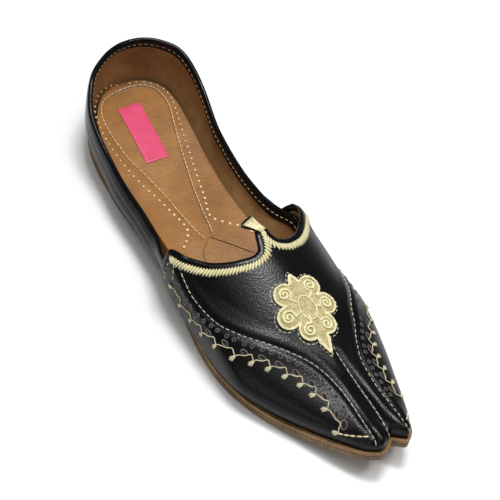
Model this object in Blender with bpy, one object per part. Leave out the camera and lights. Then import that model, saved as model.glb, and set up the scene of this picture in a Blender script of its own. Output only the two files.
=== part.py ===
# A flat leather mojari for the right foot, standing empty on its sole.
# Metres, +Z up. The toe points along +Y and the outer side of the foot is at +X.
# The origin is on the floor, in the middle of the shoe's box.
import math

import bmesh
import bpy
from mathutils import Vector
from mathutils.geometry import delaunay_2d_cdt

# Driving sizes of the shoe
LENGTH = 0.250
BALL_WIDTH = 0.0760
INSTEP_HEIGHT = 0.0383
COLLAR_HEIGHT = 0.0380
TOE_SPRING = 0.0122
ARCH_RISE = 0.0012

# Thicknesses and clearances
CLEARANCE = 0.0003
OUTSOLE_THICKNESS = 0.0028
MIDSOLE_THICKNESS = 0.0018
INSOLE_THICKNESS = 0.0020
HEEL_PAD = 0.0050
RIM_THICKNESS = 0.0008
LABEL_THICKNESS = 0.0006
VAMP_WALL = 0.0016
QUARTER_WALL = 0.0018
SOLE_MARGIN = 0.0014
VAMP_STEP = 0.0012
PAD_THICKNESS = 0.0011

# Edge bindings, tip, label and rim
COLLAR_BINDING_WIDTH = 0.0026
COLLAR_BINDING_DEPTH = 0.0045
THROAT_BINDING_WIDTH = 0.0021
THROAT_BINDING_DEPTH = 0.0024
TIP_LENGTH = 0.0058
TIP_WIDTH = 0.0084
TIP_THICKNESS = 0.0016
LABEL_WIDTH = 0.0131
LABEL_LENGTH = 0.0405
WING_FLARE = 0.0012

# Places along the shoe
HEEL_FLAT_END = 0.060
FOREFOOT_FLAT_START = 0.146
FOREFOOT_FLAT_END = 0.191
JUNCTION = 0.1265
QUARTER_LAP = 0.009
BINDING_END = 0.1286
LABEL_MIDDLE = 0.0375
HEEL_PAD_START = 0.022
HEEL_PAD_END = 0.095
RIM_APEX = 0.114
SEAT_BACK = 0.0084
SEAT_WIDE = 0.031
SEAT_HALF = 0.0184
INSOLE_FRONT = 0.232
PAD_MIDDLE = 0.1815
PAD_SIZE = 0.0158

# The outline of the sole: place along the length, then the middle line and the half width
# as shares of half the ball width. After the lobe's front the rows turn back to the notch.
OUTLINE = [
    # along, middle, half
    (0.000, -0.088, 0.000),
    (0.005, -0.083, 0.207),
    (0.024, -0.067, 0.434),
    (0.060, -0.031, 0.610),
    (0.110, 0.036, 0.702),
    (0.180, 0.114, 0.728),
    (0.280, 0.186, 0.713),
    (0.385, 0.222, 0.690),
    (0.463, 0.224, 0.713),
    (0.544, 0.217, 0.802),
    (0.632, 0.191, 0.940),
    (0.703, 0.162, 1.000),
    (0.765, 0.143, 0.958),
    (0.828, 0.121, 0.835),
    (0.893, 0.095, 0.649),
    (0.946, 0.077, 0.475),
    (0.979, 0.067, 0.356),
    (0.996, 0.062, 0.240),
    (1.000, 0.050, 0.162),
    (0.993, 0.024, 0.083),
    (0.981, 0.010, 0.000),
]

# Cross sections of the vamp, above the line where it meets the sole. The belly is where the
# side is widest. Heights are shares of the instep height, the reach is a share of half the ball width.
SECTIONS = [
    # along, belly reach, belly height, ridge height, fullness
    (0.463, 0.200, 0.620, 1.180, 1.90),
    (0.521, 0.200, 0.560, 1.140, 1.85),
    (0.579, 0.145, 0.440, 1.030, 1.75),
    (0.655, 0.060, 0.300, 0.900, 1.70),
    (0.732, 0.030, 0.220, 0.760, 1.75),
    (0.808, 0.015, 0.160, 0.580, 1.85),
    (0.885, 0.008, 0.120, 0.410, 2.00),
    (0.952, 0.004, 0.100, 0.280, 2.20),
    (1.000, 0.002, 0.080, 0.220, 2.30),
]

# The quarter band: its height as a share of the collar height, how far the side bulges
# and how far the top leans in again, as shares of half the ball width.
BAND = [
    # along, height, bulge, lean
    (0.000, 1.000, 0.050, 0.210),
    (0.030, 0.995, 0.060, 0.170),
    (0.080, 0.960, 0.100, 0.060),
    (0.148, 0.750, 0.155, 0.020),
    (0.253, 0.560, 0.110, 0.000),
    (0.368, 0.485, 0.105, 0.000),
    (0.463, 0.470, 0.150, 0.000),
    (0.521, 0.570, 0.190, 0.000),
    (0.559, 0.660, 0.200, 0.000),
]

# The throat line: how far up the section a point is, and its place along the length
THROAT = [
    # climb, along
    (0.000, 0.521),
    (0.300, 0.513),
    (0.420, 0.510),
    (0.520, 0.536),
    (0.650, 0.572),
    (0.780, 0.593),
    (0.880, 0.602),
    (0.950, 0.596),
    (1.000, 0.567),
]

LOWER_SHARE = 0.30
CAP_LENGTH = 0.012
CORNER_ALONG = 0.972
GROOVE_DEPTH = 0.0022
GROOVE_WIDTH = 0.0034

HALF_BALL = BALL_WIDTH / 2
SOLE_TOP = OUTSOLE_THICKNESS + CLEARANCE + MIDSOLE_THICKNESS
FEATHER = SOLE_TOP + CLEARANCE
INSOLE_TOP = FEATHER + INSOLE_THICKNESS
CORNER = CORNER_ALONG * LENGTH


def clear_scene():
    for item in list(bpy.data.objects):
        bpy.data.objects.remove(item)


def blend(value, start, end):
    share = min(max((value - start) / (end - start), 0.0), 1.0)
    return share * share * (3 - 2 * share)


def read_table(rows, place, column):
    """A smooth curve through one column of a table, with no overshoot between rows."""
    count = len(rows)
    if place <= rows[0][0]:
        return rows[0][column]
    if place >= rows[-1][0]:
        return rows[-1][column]
    steps = [rows[i + 1][0] - rows[i][0] for i in range(count - 1)]
    slopes = [(rows[i + 1][column] - rows[i][column]) / steps[i] for i in range(count - 1)]

    def tangent(i):
        if i == 0:
            return slopes[0]
        if i == count - 1:
            return slopes[-1]
        before, after = slopes[i - 1], slopes[i]
        if before * after <= 0:
            return 0.0
        return 2 * before * after / (before + after)

    i = max(k for k in range(count - 1) if rows[k][0] <= place)
    t = (place - rows[i][0]) / steps[i]
    a, b = rows[i][column], rows[i + 1][column]
    return (a * (2 * t**3 - 3 * t**2 + 1) + b * (3 * t**2 - 2 * t**3)
            + steps[i] * (tangent(i) * (t**3 - 2 * t**2 + t) + tangent(i + 1) * (t**3 - t**2)))


def spline(points, samples):
    """A Catmull-Rom curve through points in the plan, with each span cut in samples."""
    count = len(points)
    ends = [2 * points[0] - points[1], 2 * points[-1] - points[-2]]
    row = [ends[0]] + points + [ends[1]]
    out = []
    for i in range(1, count):
        a, b, c, d = row[i - 1:i + 3]
        for k in range(samples):
            t = k / samples
            out.append(0.5 * (2 * b + (c - a) * t + (2 * a - 5 * b + 4 * c - d) * t**2
                              + (3 * b - a - 3 * c + d) * t**3))
    out.append(points[-1].copy())
    return out


def sole_side(side, inset=0.0, samples=4):
    """One side of the sole's outline, from the back of the heel to the notch, moved in by inset."""
    rows = [Vector((HALF_BALL * (mid + side * half), LENGTH * along)) for along, mid, half in OUTLINE]
    line = spline(rows, samples)
    if inset == 0.0:
        return line
    moved = []
    for i, point in enumerate(line):
        before = line[max(i - 1, 0)]
        after = line[min(i + 1, len(line) - 1)]
        run = (after - before).normalized()
        inward = Vector((-run.y, run.x)) * side
        if i == 0:
            inward = Vector((0, 1))
        if i == len(line) - 1:
            inward = Vector((0, -1.25))
        moved.append(point + inward * inset)
    return moved


def floor_rise(y):
    """How far the sole's underside stands off the floor: the arch and the toe spring."""
    arch = 0.0
    if HEEL_FLAT_END < y < FOREFOOT_FLAT_START:
        share = (y - HEEL_FLAT_END) / (FOREFOOT_FLAT_START - HEEL_FLAT_END)
        arch = ARCH_RISE * math.sin(math.pi * share)**2
    spring = max(y - FOREFOOT_FLAT_END, 0) / (LENGTH - FOREFOOT_FLAT_END)
    return arch + TOE_SPRING * spring**2


def insole_rise(y):
    """The insole's top above the floor: it thickens to a pad under the heel."""
    return floor_rise(y) + INSOLE_TOP + HEEL_PAD * blend(y, HEEL_PAD_END, HEEL_PAD_START)


def reach_at(line, y):
    """Where a side of the outline crosses y, before the front of its lobe."""
    for a, b in zip(line, line[1:]):
        if a.y <= y <= b.y and b.y > a.y:
            return a.x + (b.x - a.x) * (y - a.y) / (b.y - a.y)
    return line[0].x


FOOT_LINES = {side: sole_side(side, SOLE_MARGIN, 12) for side in (1, -1)}


def front_line():
    """The front of the upper's foot, from the medial corner over both lobes to the lateral one."""
    half = {}
    for side in (1, -1):
        line = FOOT_LINES[side]
        top = max(range(len(line)), key=lambda i: line[i].y)
        start = next(i for i in range(len(line)) if line[i].y >= CORNER)
        start = min(start, top)
        half[side] = line[start:]
    return half[-1] + half[1][::-1][1:]


FRONT = front_line()


def front_at(x):
    for a, b in zip(FRONT, FRONT[1:]):
        if a.x <= x <= b.x:
            return a.y + (b.y - a.y) * (x - a.x) / max(b.x - a.x, 1e-9)
    return CORNER


def foot_reach(y, side):
    return reach_at(FOOT_LINES[side], min(y, CORNER))


def section(y):
    """The vamp's section at y: its middle, the foot, the belly, the ridge and the fullness."""
    lateral, medial = foot_reach(y, 1), foot_reach(y, -1)
    along = y / LENGTH
    return {
        "middle": (lateral + medial) / 2,
        "foot": (lateral - medial) / 2,
        "out": HALF_BALL * read_table(SECTIONS, along, 1),
        "belly": INSTEP_HEIGHT * read_table(SECTIONS, along, 2),
        "ridge": INSTEP_HEIGHT * read_table(SECTIONS, along, 3),
        "fullness": read_table(SECTIONS, along, 4),
    }


def groove(x, y, middle):
    """The dip between the two toe lobes."""
    return GROOVE_DEPTH * blend(y, 0.78 * LENGTH, 0.96 * LENGTH) * math.exp(-((x - middle) / GROOVE_WIDTH)**2)


def vamp_point(climb, side, share):
    """A point of the vamp: climb runs from the foot to the ridge, share from the throat to the toe."""
    start = LENGTH * read_table(THROAT, climb, 1)
    above = max(climb - LOWER_SHARE, 0) / (1 - LOWER_SHARE)
    low = min(climb / LOWER_SHARE, 1.0)
    angle = above * math.pi / 2
    toe = section(CORNER)
    power = 2 / toe["fullness"]
    if climb < LOWER_SHARE:
        end = CORNER - 0.012 * (1 - low)
    else:
        end = front_at(toe["middle"] + side * toe["foot"] * math.cos(angle)**power * 0.995)
    cap_start = end - CAP_LENGTH
    body = (cap_start - start) / (end - start)
    if share < 0.82:
        y = start + (cap_start - start) * share / 0.82
        cap = 1.0
    else:
        turn = (share - 0.82) / 0.18 * math.pi / 2
        y = cap_start + CAP_LENGTH * math.sin(turn)
        cap = math.cos(turn) if share < 0.9999 else 0.0
    at = section(y)
    power = 2 / at["fullness"]
    flare = WING_FLARE * low * blend(y, JUNCTION + 0.022, JUNCTION - 0.004) if side < 0 else 0.0
    belly = at["foot"] + at["out"] + flare
    if climb < LOWER_SHARE:
        out = at["foot"] + (belly - at["foot"]) * math.sin(low * math.pi / 2)
        rise = at["belly"] * low
    else:
        out = belly * math.cos(angle)**power
        rise = at["belly"] + (at["ridge"] - at["belly"]) * math.sin(angle)**power
    x = at["middle"] + side * out
    if climb < LOWER_SHARE:
        x = at["middle"] + side * (at["foot"] + (out - at["foot"]) * cap)
    rise -= groove(x, y, at["middle"])
    return Vector((x, y, FEATHER + floor_rise(y) + rise * cap))


def vamp_height(x, y):
    """The vamp's outer surface above a place in the plan, between the bellies."""
    at = section(y)
    belly = at["foot"] + at["out"]
    share = min(abs(x - at["middle"]) / belly, 0.999)
    up = (1 - share**at["fullness"])**(1 / at["fullness"])
    rise = at["belly"] + (at["ridge"] - at["belly"]) * up - groove(x, y, at["middle"])
    return FEATHER + floor_rise(y) + rise


def grid_normals(grid):
    """The outward direction at each point of a grid of rows and columns."""
    rows, columns = len(grid), len(grid[0])
    normals = []
    for i in range(rows):
        line = []
        for j in range(columns):
            along = grid[min(i + 1, rows - 1)][j] - grid[max(i - 1, 0)][j]
            across = grid[i][min(j + 1, columns - 1)] - grid[i][max(j - 1, 0)]
            line.append(along.cross(across).normalized())
        normals.append(line)
    return normals


def shell(grid, wall, foot_rows=(), foot_columns=()):
    """A closed wall behind a grid: the inner skin is the grid moved in, and the edges are joined.
    Foot rows and columns keep their height, so that the lower edge stays flat."""
    rows, columns = len(grid), len(grid[0])
    normals = grid_normals(grid)
    inner = []
    for i in range(rows):
        line = []
        for j in range(columns):
            away = normals[i][j].copy()
            if i in foot_rows or j in foot_columns:
                away.z = 0
                away.normalize()
            line.append(grid[i][j] - away * wall)
        inner.append(line)
    points = [p for line in grid for p in line] + [p for line in inner for p in line]
    shift = rows * columns
    faces = []
    for i in range(rows - 1):
        for j in range(columns - 1):
            a, b = i * columns + j, i * columns + j + 1
            c, d = b + columns, a + columns
            faces.append((a, b, c, d))
            faces.append((shift + d, shift + c, shift + b, shift + a))
    edge = [j for j in range(columns)]
    edge += [i * columns + columns - 1 for i in range(1, rows)]
    edge += [(rows - 1) * columns + j for j in range(columns - 2, -1, -1)]
    edge += [i * columns for i in range(rows - 2, 0, -1)]
    for a, b in zip(edge, edge[1:] + edge[:1]):
        faces.append((b, a, shift + a, shift + b))
    return points, faces


def material(name, colour, roughness):
    skin = bpy.data.materials.new(name)
    skin.use_nodes = True
    shader = skin.node_tree.nodes["Principled BSDF"]
    shader.inputs["Base Color"].default_value = (*colour, 1.0)
    shader.inputs["Roughness"].default_value = roughness
    shader.inputs["Metallic"].default_value = 0.0
    return skin


def make_object(name, points, faces, colour, roughness):
    """A named object whose faces are turned outward."""
    mesh = bpy.data.meshes.new(name)
    mesh.from_pydata([tuple(p) for p in points], [], faces)
    work = bmesh.new()
    work.from_mesh(mesh)
    bmesh.ops.recalc_face_normals(work, faces=work.faces)
    work.to_mesh(mesh)
    work.free()
    mesh.materials.append(material(name, colour, roughness))
    mesh.shade_smooth()
    mesh.set_sharp_from_angle(angle=math.radians(40))
    item = bpy.data.objects.new(name, mesh)
    bpy.context.scene.collection.objects.link(item)
    return item


def inside(point, ring):
    """Whether a point of the plan lies inside a ring."""
    odd = False
    for a, b in zip(ring, ring[1:] + ring[:1]):
        if (a.y > point.y) != (b.y > point.y):
            if point.x < a.x + (b.x - a.x) * (point.y - a.y) / (b.y - a.y):
                odd = not odd
    return odd


def fill_plan(rings, inner_points):
    """Triangles between an outer ring, any holes and some points inside."""
    points, edges = [], []
    for ring in rings:
        first = len(points)
        points += ring
        edges += [(first + i, first + (i + 1) % len(ring)) for i in range(len(ring))]
    count = len(points)
    for point in inner_points:
        clear = min((point - p).length for p in points[:count]) > 0.0018
        if clear and inside(point, rings[0]) and not any(inside(point, hole) for hole in rings[1:]):
            points.append(point)
    places, _, triangles, _, _, _ = delaunay_2d_cdt(points, edges, [], 1, 1e-7)
    kept = []
    for face in triangles:
        centre = sum((places[i] for i in face), Vector((0, 0))) / len(face)
        if inside(centre, rings[0]) and not any(inside(centre, hole) for hole in rings[1:]):
            kept.append(tuple(face))
    return places, kept


def plate(name, rings, inner_points, low, high, colour, roughness):
    """A sheet cut to rings in the plan, between two height functions."""
    places, triangles = fill_plan(rings, inner_points)
    count = len(places)
    points = [Vector((p.x, p.y, high(p.x, p.y))) for p in places]
    points += [Vector((p.x, p.y, low(p.x, p.y))) for p in places]
    faces = [face for face in triangles]
    faces += [tuple(count + i for i in reversed(face)) for face in triangles]
    edges = {}
    for face in triangles:
        for a, b in zip(face, face[1:] + face[:1]):
            edges[(a, b)] = True
    for a, b in edges:
        if (b, a) not in edges:
            faces.append((b, a, count + a, count + b))
    return make_object(name, points, faces, colour, roughness)


def full_ring(inset, samples=4):
    """The whole outline moved in by inset, as one ring."""
    lateral = sole_side(1, inset, samples)
    medial = sole_side(-1, inset, samples)
    return lateral + medial[::-1][1:-1]


def inner_ring(inset):
    """The outline of a sheet inside the upper: it runs along the wall and rounds off behind the lobes."""
    sides = {}
    for side in (1, -1):
        sides[side] = [p for p in sole_side(side, inset, 4)[:-8] if p.y < INSOLE_FRONT]
    lateral, medial = sides[1][-1], sides[-1][-1]
    front = []
    for i in range(1, 8):
        turn = math.pi * i / 8
        x = (lateral.x + medial.x) / 2 + (lateral.x - medial.x) / 2 * math.cos(turn)
        y = (lateral.y + medial.y) / 2 + (lateral.y - medial.y) / 2 * math.cos(turn) + 0.006 * math.sin(turn)
        front.append(Vector((x, y)))
    return sides[1] + front + sides[-1][::-1][:-1]


def spread(step_x, step_y):
    """Points on a lattice over the whole shoe."""
    return [Vector((step_x * i, step_y * j)) for i in range(-12, 13) for j in range(1, int(LENGTH / step_y))]


def make_sole():
    ring = full_ring(0.0)
    inner = spread(0.009, 0.009)
    plate("outsole", [ring], inner,
          lambda x, y: floor_rise(y),
          lambda x, y: floor_rise(y) + OUTSOLE_THICKNESS, (0.36, 0.24, 0.13), 0.7)
    plate("midsole", [ring], inner,
          lambda x, y: floor_rise(y) + OUTSOLE_THICKNESS + CLEARANCE,
          lambda x, y: floor_rise(y) + SOLE_TOP, (0.50, 0.32, 0.17), 0.6)


def make_insole():
    inset = SOLE_MARGIN + VAMP_STEP + QUARTER_WALL + 2 * CLEARANCE
    plate("insole", [inner_ring(inset)], spread(0.009, 0.009),
          lambda x, y: floor_rise(y) + FEATHER,
          lambda x, y: insole_rise(y), (0.44, 0.25, 0.10), 0.7)


def middle_at(y):
    return HALF_BALL * read_table(OUTLINE[:17], y / LENGTH, 1)


def make_insole_rim():
    """A raised strip that rounds the heel seat and narrows to a V under the throat."""
    outer_reach = SOLE_MARGIN + VAMP_STEP + QUARTER_WALL + 4 * CLEARANCE
    outer = []
    for side in (1, -1):
        line = [p for p in sole_side(side, outer_reach, 4) if p.y < JUNCTION + 0.006]
        outer.append(line)
    ring = outer[0] + outer[1][::-1][:-1]
    inner = heel_seat_ring()
    plate("insole_rim", [ring, inner], spread(0.008, 0.008),
          lambda x, y: insole_rise(y) + CLEARANCE,
          lambda x, y: insole_rise(y) + CLEARANCE + RIM_THICKNESS, (0.47, 0.28, 0.12), 0.65)


def heel_seat_ring():
    """The bare seat inside the rim: round at the heel, pointed at the apex."""
    ring = []
    for side in (1, -1):
        line = []
        for i in range(7):
            turn = i / 6 * math.pi / 2
            y = SEAT_WIDE - (SEAT_WIDE - SEAT_BACK) * math.cos(turn)
            line.append((SEAT_HALF * math.sin(turn), y))
        for i in range(1, 13):
            t = i / 12
            y = SEAT_WIDE + (RIM_APEX - SEAT_WIDE) * t
            line.append((SEAT_HALF * (1 - t), y))
        points = [Vector((middle_at(y) + side * half, y)) for half, y in line]
        ring.append(points)
    return ring[0] + ring[1][::-1][1:-1]


def make_label():
    half_w, half_l = LABEL_WIDTH / 2, LABEL_LENGTH / 2
    turn = math.radians(-4)
    middle = Vector((middle_at(LABEL_MIDDLE), LABEL_MIDDLE))
    ring = []
    for x, y in ((half_w, -half_l), (half_w, half_l), (-half_w, half_l), (-half_w, -half_l)):
        across = x * math.cos(turn) - y * math.sin(turn)
        along = x * math.sin(turn) + y * math.cos(turn)
        ring.append(middle + Vector((across, along)))
    plate("label", [ring], spread(0.004, 0.004),
          lambda x, y: insole_rise(y) + 2.2 * CLEARANCE,
          lambda x, y: insole_rise(y) + 2.2 * CLEARANCE + LABEL_THICKNESS, (0.85, 0.10, 0.28), 0.5)


def band_stations():
    """Places round the rear outline where the quarter has a rib, from under the lateral wing
    round the heel to under the medial one."""
    sides = []
    for side in (1, -1):
        whole = sole_side(side, SOLE_MARGIN, 4)
        line = [p for p in whole if p.y < BINDING_END - 0.0015]
        line.append(Vector((reach_at(whole, BINDING_END), BINDING_END)))
        line += [p for p in whole if BINDING_END + 0.0015 < p.y < JUNCTION + QUARTER_LAP]
        sides.append(line)
    return sides[0][::-1] + sides[1][1:]


def quarter_offset(y, side, rise):
    """How far the quarter stands out from its foot at a height."""
    along = y / LENGTH
    at = section(max(y, 0.463 * LENGTH))
    top = COLLAR_HEIGHT * read_table(BAND, along, 1)
    bulge = HALF_BALL * read_table(BAND, along, 2)
    lean = HALF_BALL * read_table(BAND, along, 3)
    share = min(rise / (0.62 * top), 1.0)
    over = max(rise / top - 0.45, 0) / 0.55
    front = blend(y, 0.43 * LENGTH, 0.49 * LENGTH)
    rear = bulge * math.sin(share * math.pi / 2) - lean * over**2
    fore = at["out"] * math.sin(min(rise / at["belly"], 1.0) * math.pi / 2)
    return rear * (1 - front) + fore * front


def quarter_grid():
    stations = band_stations()
    count = len(stations)
    grid = []
    levels = 8
    for level in range(levels + 1):
        line = []
        for i, foot in enumerate(stations):
            before = stations[max(i - 1, 0)]
            after = stations[min(i + 1, count - 1)]
            run = (after - before).normalized()
            outward = Vector((-run.y, run.x))
            side = 1 if i < count / 2 else -1
            top = COLLAR_HEIGHT * read_table(BAND, foot.y / LENGTH, 1) - COLLAR_BINDING_DEPTH - CLEARANCE
            top -= 0.006 * blend(foot.y, JUNCTION + 0.002, JUNCTION + QUARTER_LAP)
            rise = top * level / levels
            tuck = VAMP_STEP * blend(foot.y, JUNCTION - 0.03, JUNCTION - 0.004)
            out = quarter_offset(foot.y, side, rise) - tuck
            point = foot + outward * out
            line.append(Vector((point.x, point.y, FEATHER + floor_rise(foot.y) + rise)))
        grid.append(line)
    return grid


def vamp_grid():
    """The vamp's outer skin, from its throat to the toe, over the ridge from side to side."""
    climbs = [i / 20 for i in range(21)]
    columns = [(c, 1) for c in climbs] + [(c, -1) for c in climbs[-2::-1]]
    shares = [i / 20 * 0.82 for i in range(20)] + [0.82 + 0.18 * i / 6 for i in range(7)]
    return [[vamp_point(climb, side, share) for climb, side in columns] for share in shares]


def make_upper():
    """The hollow upper: the vamp's wall with the quarter lapped under its wings."""
    black = (0.020, 0.020, 0.022)
    grid = vamp_grid()
    rows, columns = len(grid), len(grid[0])
    points, faces = shell(grid, VAMP_WALL, foot_rows=(rows - 1,), foot_columns=(0, columns - 1))
    upper = make_object("upper", points, faces, black, 0.35)
    points, faces = shell(quarter_grid(), QUARTER_WALL, foot_rows=(0,))
    band = make_object("quarter_band", points, faces, black, 0.35)
    band.hide_render = True
    band.display_type = "WIRE"
    join = upper.modifiers.new("lap", "BOOLEAN")
    join.operation = "UNION"
    join.solver = "EXACT"
    join.object = band
    return upper


def ribbon(name, path, across, away, width, depth, colour, roughness):
    """A strip with rounded edges that stands on a path: away points off the cut edge."""
    shape = [(-0.5, 0.0), (0.5, 0.0), (0.5, 0.62), (0.30, 0.94), (0.0, 1.0), (-0.30, 0.94), (-0.5, 0.62)]
    points, faces = [], []
    for place, side, up in zip(path, across, away):
        points += [place + side * (a * width) + up * (CLEARANCE + b * depth) for a, b in shape]
    n = len(shape)
    for i in range(len(path) - 1):
        for k in range(n):
            a, b = i * n + k, i * n + (k + 1) % n
            faces.append((a, b, b + n, a + n))
    faces.append(tuple(range(n)))
    last = (len(path) - 1) * n
    faces.append(tuple(last + k for k in reversed(range(n))))
    return make_object(name, points, faces, colour, roughness)


def make_collar_binding():
    grid = quarter_grid()
    normals = grid_normals(grid)
    top, below, turned = grid[-1], grid[-2], normals[-1]
    path, across, away = [], [], []
    for foot, point, under, side in zip(band_stations(), top, below, turned):
        if foot.y > BINDING_END + 0.0001:
            continue
        up = (point - under).normalized()
        path.append(point - side * (QUARTER_WALL / 2))
        across.append(side)
        away.append(up)
    black = (0.015, 0.015, 0.015)
    ribbon("collar_binding", path, across, away, COLLAR_BINDING_WIDTH, COLLAR_BINDING_DEPTH, black, 0.4)


def make_throat_bindings():
    grid = vamp_grid()
    normals = grid_normals(grid)
    first, second, turned = grid[0], grid[1], normals[0]
    count = len(first)
    half = count // 2
    lateral, medial = range(9, half - 1), range(half + 2, count - 9)
    for name, run in (("throat_binding_lateral", lateral), ("throat_binding_medial", medial)):
        path, across, away = [], [], []
        for j in run:
            edge = (first[j + 1] - first[j - 1]).normalized()
            back = turned[j].cross(edge).normalized()
            if back.dot(first[j] - second[j]) < 0:
                back = -back
            path.append(first[j] - turned[j] * (VAMP_WALL / 2))
            across.append(turned[j])
            away.append(back)
        ribbon(name, path, across, away, THROAT_BINDING_WIDTH, THROAT_BINDING_DEPTH, (0.015, 0.015, 0.015), 0.4)


def make_cusp_tip():
    """The fish tail that stands up at the middle of the throat."""
    grid = vamp_grid()
    half = len(grid[0]) // 2
    peak, ahead = grid[0][half], grid[1][half]
    back = (peak - ahead).normalized()
    side = Vector((1, 0, 0))
    up = side.cross(back).normalized()
    if up.z < 0:
        up = -up
    half_w = TIP_WIDTH / 2
    outline = [(-0.22, 0.0), (-0.35, 0.35), (-0.75, 0.72), (-1.0, 1.0), (-0.45, 0.88),
               (0.0, 0.98), (0.45, 0.88), (1.0, 1.0), (0.75, 0.72), (0.35, 0.35), (0.22, 0.0)]
    points = []
    for level in (0.0, -TIP_THICKNESS):
        for a, b in outline:
            lift = 0.0012 * b * b
            points.append(peak + side * (a * half_w) + back * (CLEARANCE * 1.5 + b * TIP_LENGTH) + up * (level + lift))
    n = len(outline)
    faces = [tuple(range(n)), tuple(n + k for k in reversed(range(n)))]
    for k in range(n):
        a, b = k, (k + 1) % n
        faces.append((b, a, a + n, b + n))
    make_object("cusp_tip", points, faces, (0.62, 0.57, 0.38), 0.6)


def medallion_ring():
    """Six round lobes, a small leaf towards the throat and a drop towards the toe."""
    ring = []
    middle = Vector((middle_at(PAD_MIDDLE), PAD_MIDDLE))
    steps = 96
    for i in range(steps):
        turn = 2 * math.pi * i / steps
        lobe = abs(math.cos(3 * turn))**0.6
        reach = PAD_SIZE * (0.72 + 0.28 * lobe)
        towards_throat = math.exp(-((turn - 1.5 * math.pi) / 0.09)**2)
        towards_toe = math.exp(-((turn - 0.5 * math.pi) / 0.13)**2)
        reach += PAD_SIZE * (0.25 * towards_throat + 0.55 * towards_toe)
        ring.append(middle + Vector((math.cos(turn) * reach * 0.98, math.sin(turn) * reach)))
    return ring


def make_medallion():
    inner = [Vector((p.x * 1.0, p.y)) for p in spread(0.0045, 0.0045)]
    plate("medallion", [medallion_ring()], inner,
          lambda x, y: vamp_height(x, y) + 1.6 * CLEARANCE,
          lambda x, y: vamp_height(x, y) + 1.6 * CLEARANCE + PAD_THICKNESS, (0.70, 0.64, 0.42), 0.75)


def centre_in_plan():
    """Moves every piece so that the middle of the shoe's box stands over the origin."""
    items = list(bpy.data.objects)
    corners = [vertex.co for item in items for vertex in item.data.vertices]
    x = (min(c.x for c in corners) + max(c.x for c in corners)) / 2
    y = (min(c.y for c in corners) + max(c.y for c in corners)) / 2
    for item in items:
        item.location = (-x, -y, 0)


def build():
    clear_scene()
    make_sole()
    make_insole()
    make_insole_rim()
    make_label()
    make_upper()
    make_collar_binding()
    make_throat_bindings()
    make_cusp_tip()
    make_medallion()
    centre_in_plan()


build()
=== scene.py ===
# The looks of a flat embroidered mojari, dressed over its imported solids.
# Metres, +Z up. The toe points along +Y and the outer side of the foot is at +X.
# Shapes are worked out from the back of the heel, at x 0 and y 0, and moved to the frame's origin at the end.
import bisect
import math
import random

import bmesh
import bpy
from mathutils import Matrix, Vector
from mathutils.bvhtree import BVHTree


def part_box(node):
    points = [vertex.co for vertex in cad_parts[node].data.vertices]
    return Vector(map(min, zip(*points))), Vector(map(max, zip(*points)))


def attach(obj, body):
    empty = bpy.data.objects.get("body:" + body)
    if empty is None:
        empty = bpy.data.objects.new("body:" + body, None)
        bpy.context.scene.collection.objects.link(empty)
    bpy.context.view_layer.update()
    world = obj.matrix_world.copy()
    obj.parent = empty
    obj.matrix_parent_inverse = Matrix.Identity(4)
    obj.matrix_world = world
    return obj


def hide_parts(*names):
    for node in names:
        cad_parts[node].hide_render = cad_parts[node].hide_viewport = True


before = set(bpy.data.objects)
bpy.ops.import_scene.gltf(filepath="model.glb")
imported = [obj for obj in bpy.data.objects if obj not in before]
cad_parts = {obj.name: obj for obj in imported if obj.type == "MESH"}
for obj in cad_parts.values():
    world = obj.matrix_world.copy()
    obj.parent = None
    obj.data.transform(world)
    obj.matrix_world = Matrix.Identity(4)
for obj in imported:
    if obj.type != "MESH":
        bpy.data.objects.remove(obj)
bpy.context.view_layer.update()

# Sizes of the shoe, as in its solids
LENGTH = 0.250
BALL_WIDTH = 0.0760
INSTEP_HEIGHT = 0.0383
COLLAR_HEIGHT = 0.0380
TOE_SPRING = 0.0122
ARCH_RISE = 0.0012
CLEARANCE = 0.0003
OUTSOLE_THICKNESS = 0.0028
MIDSOLE_THICKNESS = 0.0018
INSOLE_THICKNESS = 0.0020
HEEL_PAD = 0.0050
RIM_THICKNESS = 0.0011
VAMP_WALL = 0.0016
QUARTER_WALL = 0.0018
SOLE_MARGIN = 0.0014
VAMP_STEP = 0.0012
COLLAR_BINDING_WIDTH = 0.0027
COLLAR_BINDING_DEPTH = 0.0045
THROAT_FOLD_DEPTH = 0.0027
WING_FLARE = 0.0012
OUTER_FLARE = 0.0024
HEEL_FLAT_END = 0.060
FOREFOOT_FLAT_START = 0.146
FOREFOOT_FLAT_END = 0.191
JUNCTION = 0.1265
QUARTER_LAP = 0.014
BINDING_END = 0.1286
HEEL_PAD_START = 0.022
HEEL_PAD_END = 0.095
INSOLE_FRONT = 0.236
PAD_MIDDLE = 0.1820
NEAR_PUFF = 0.0038
TOE_PUFF = 0.0004

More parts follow.
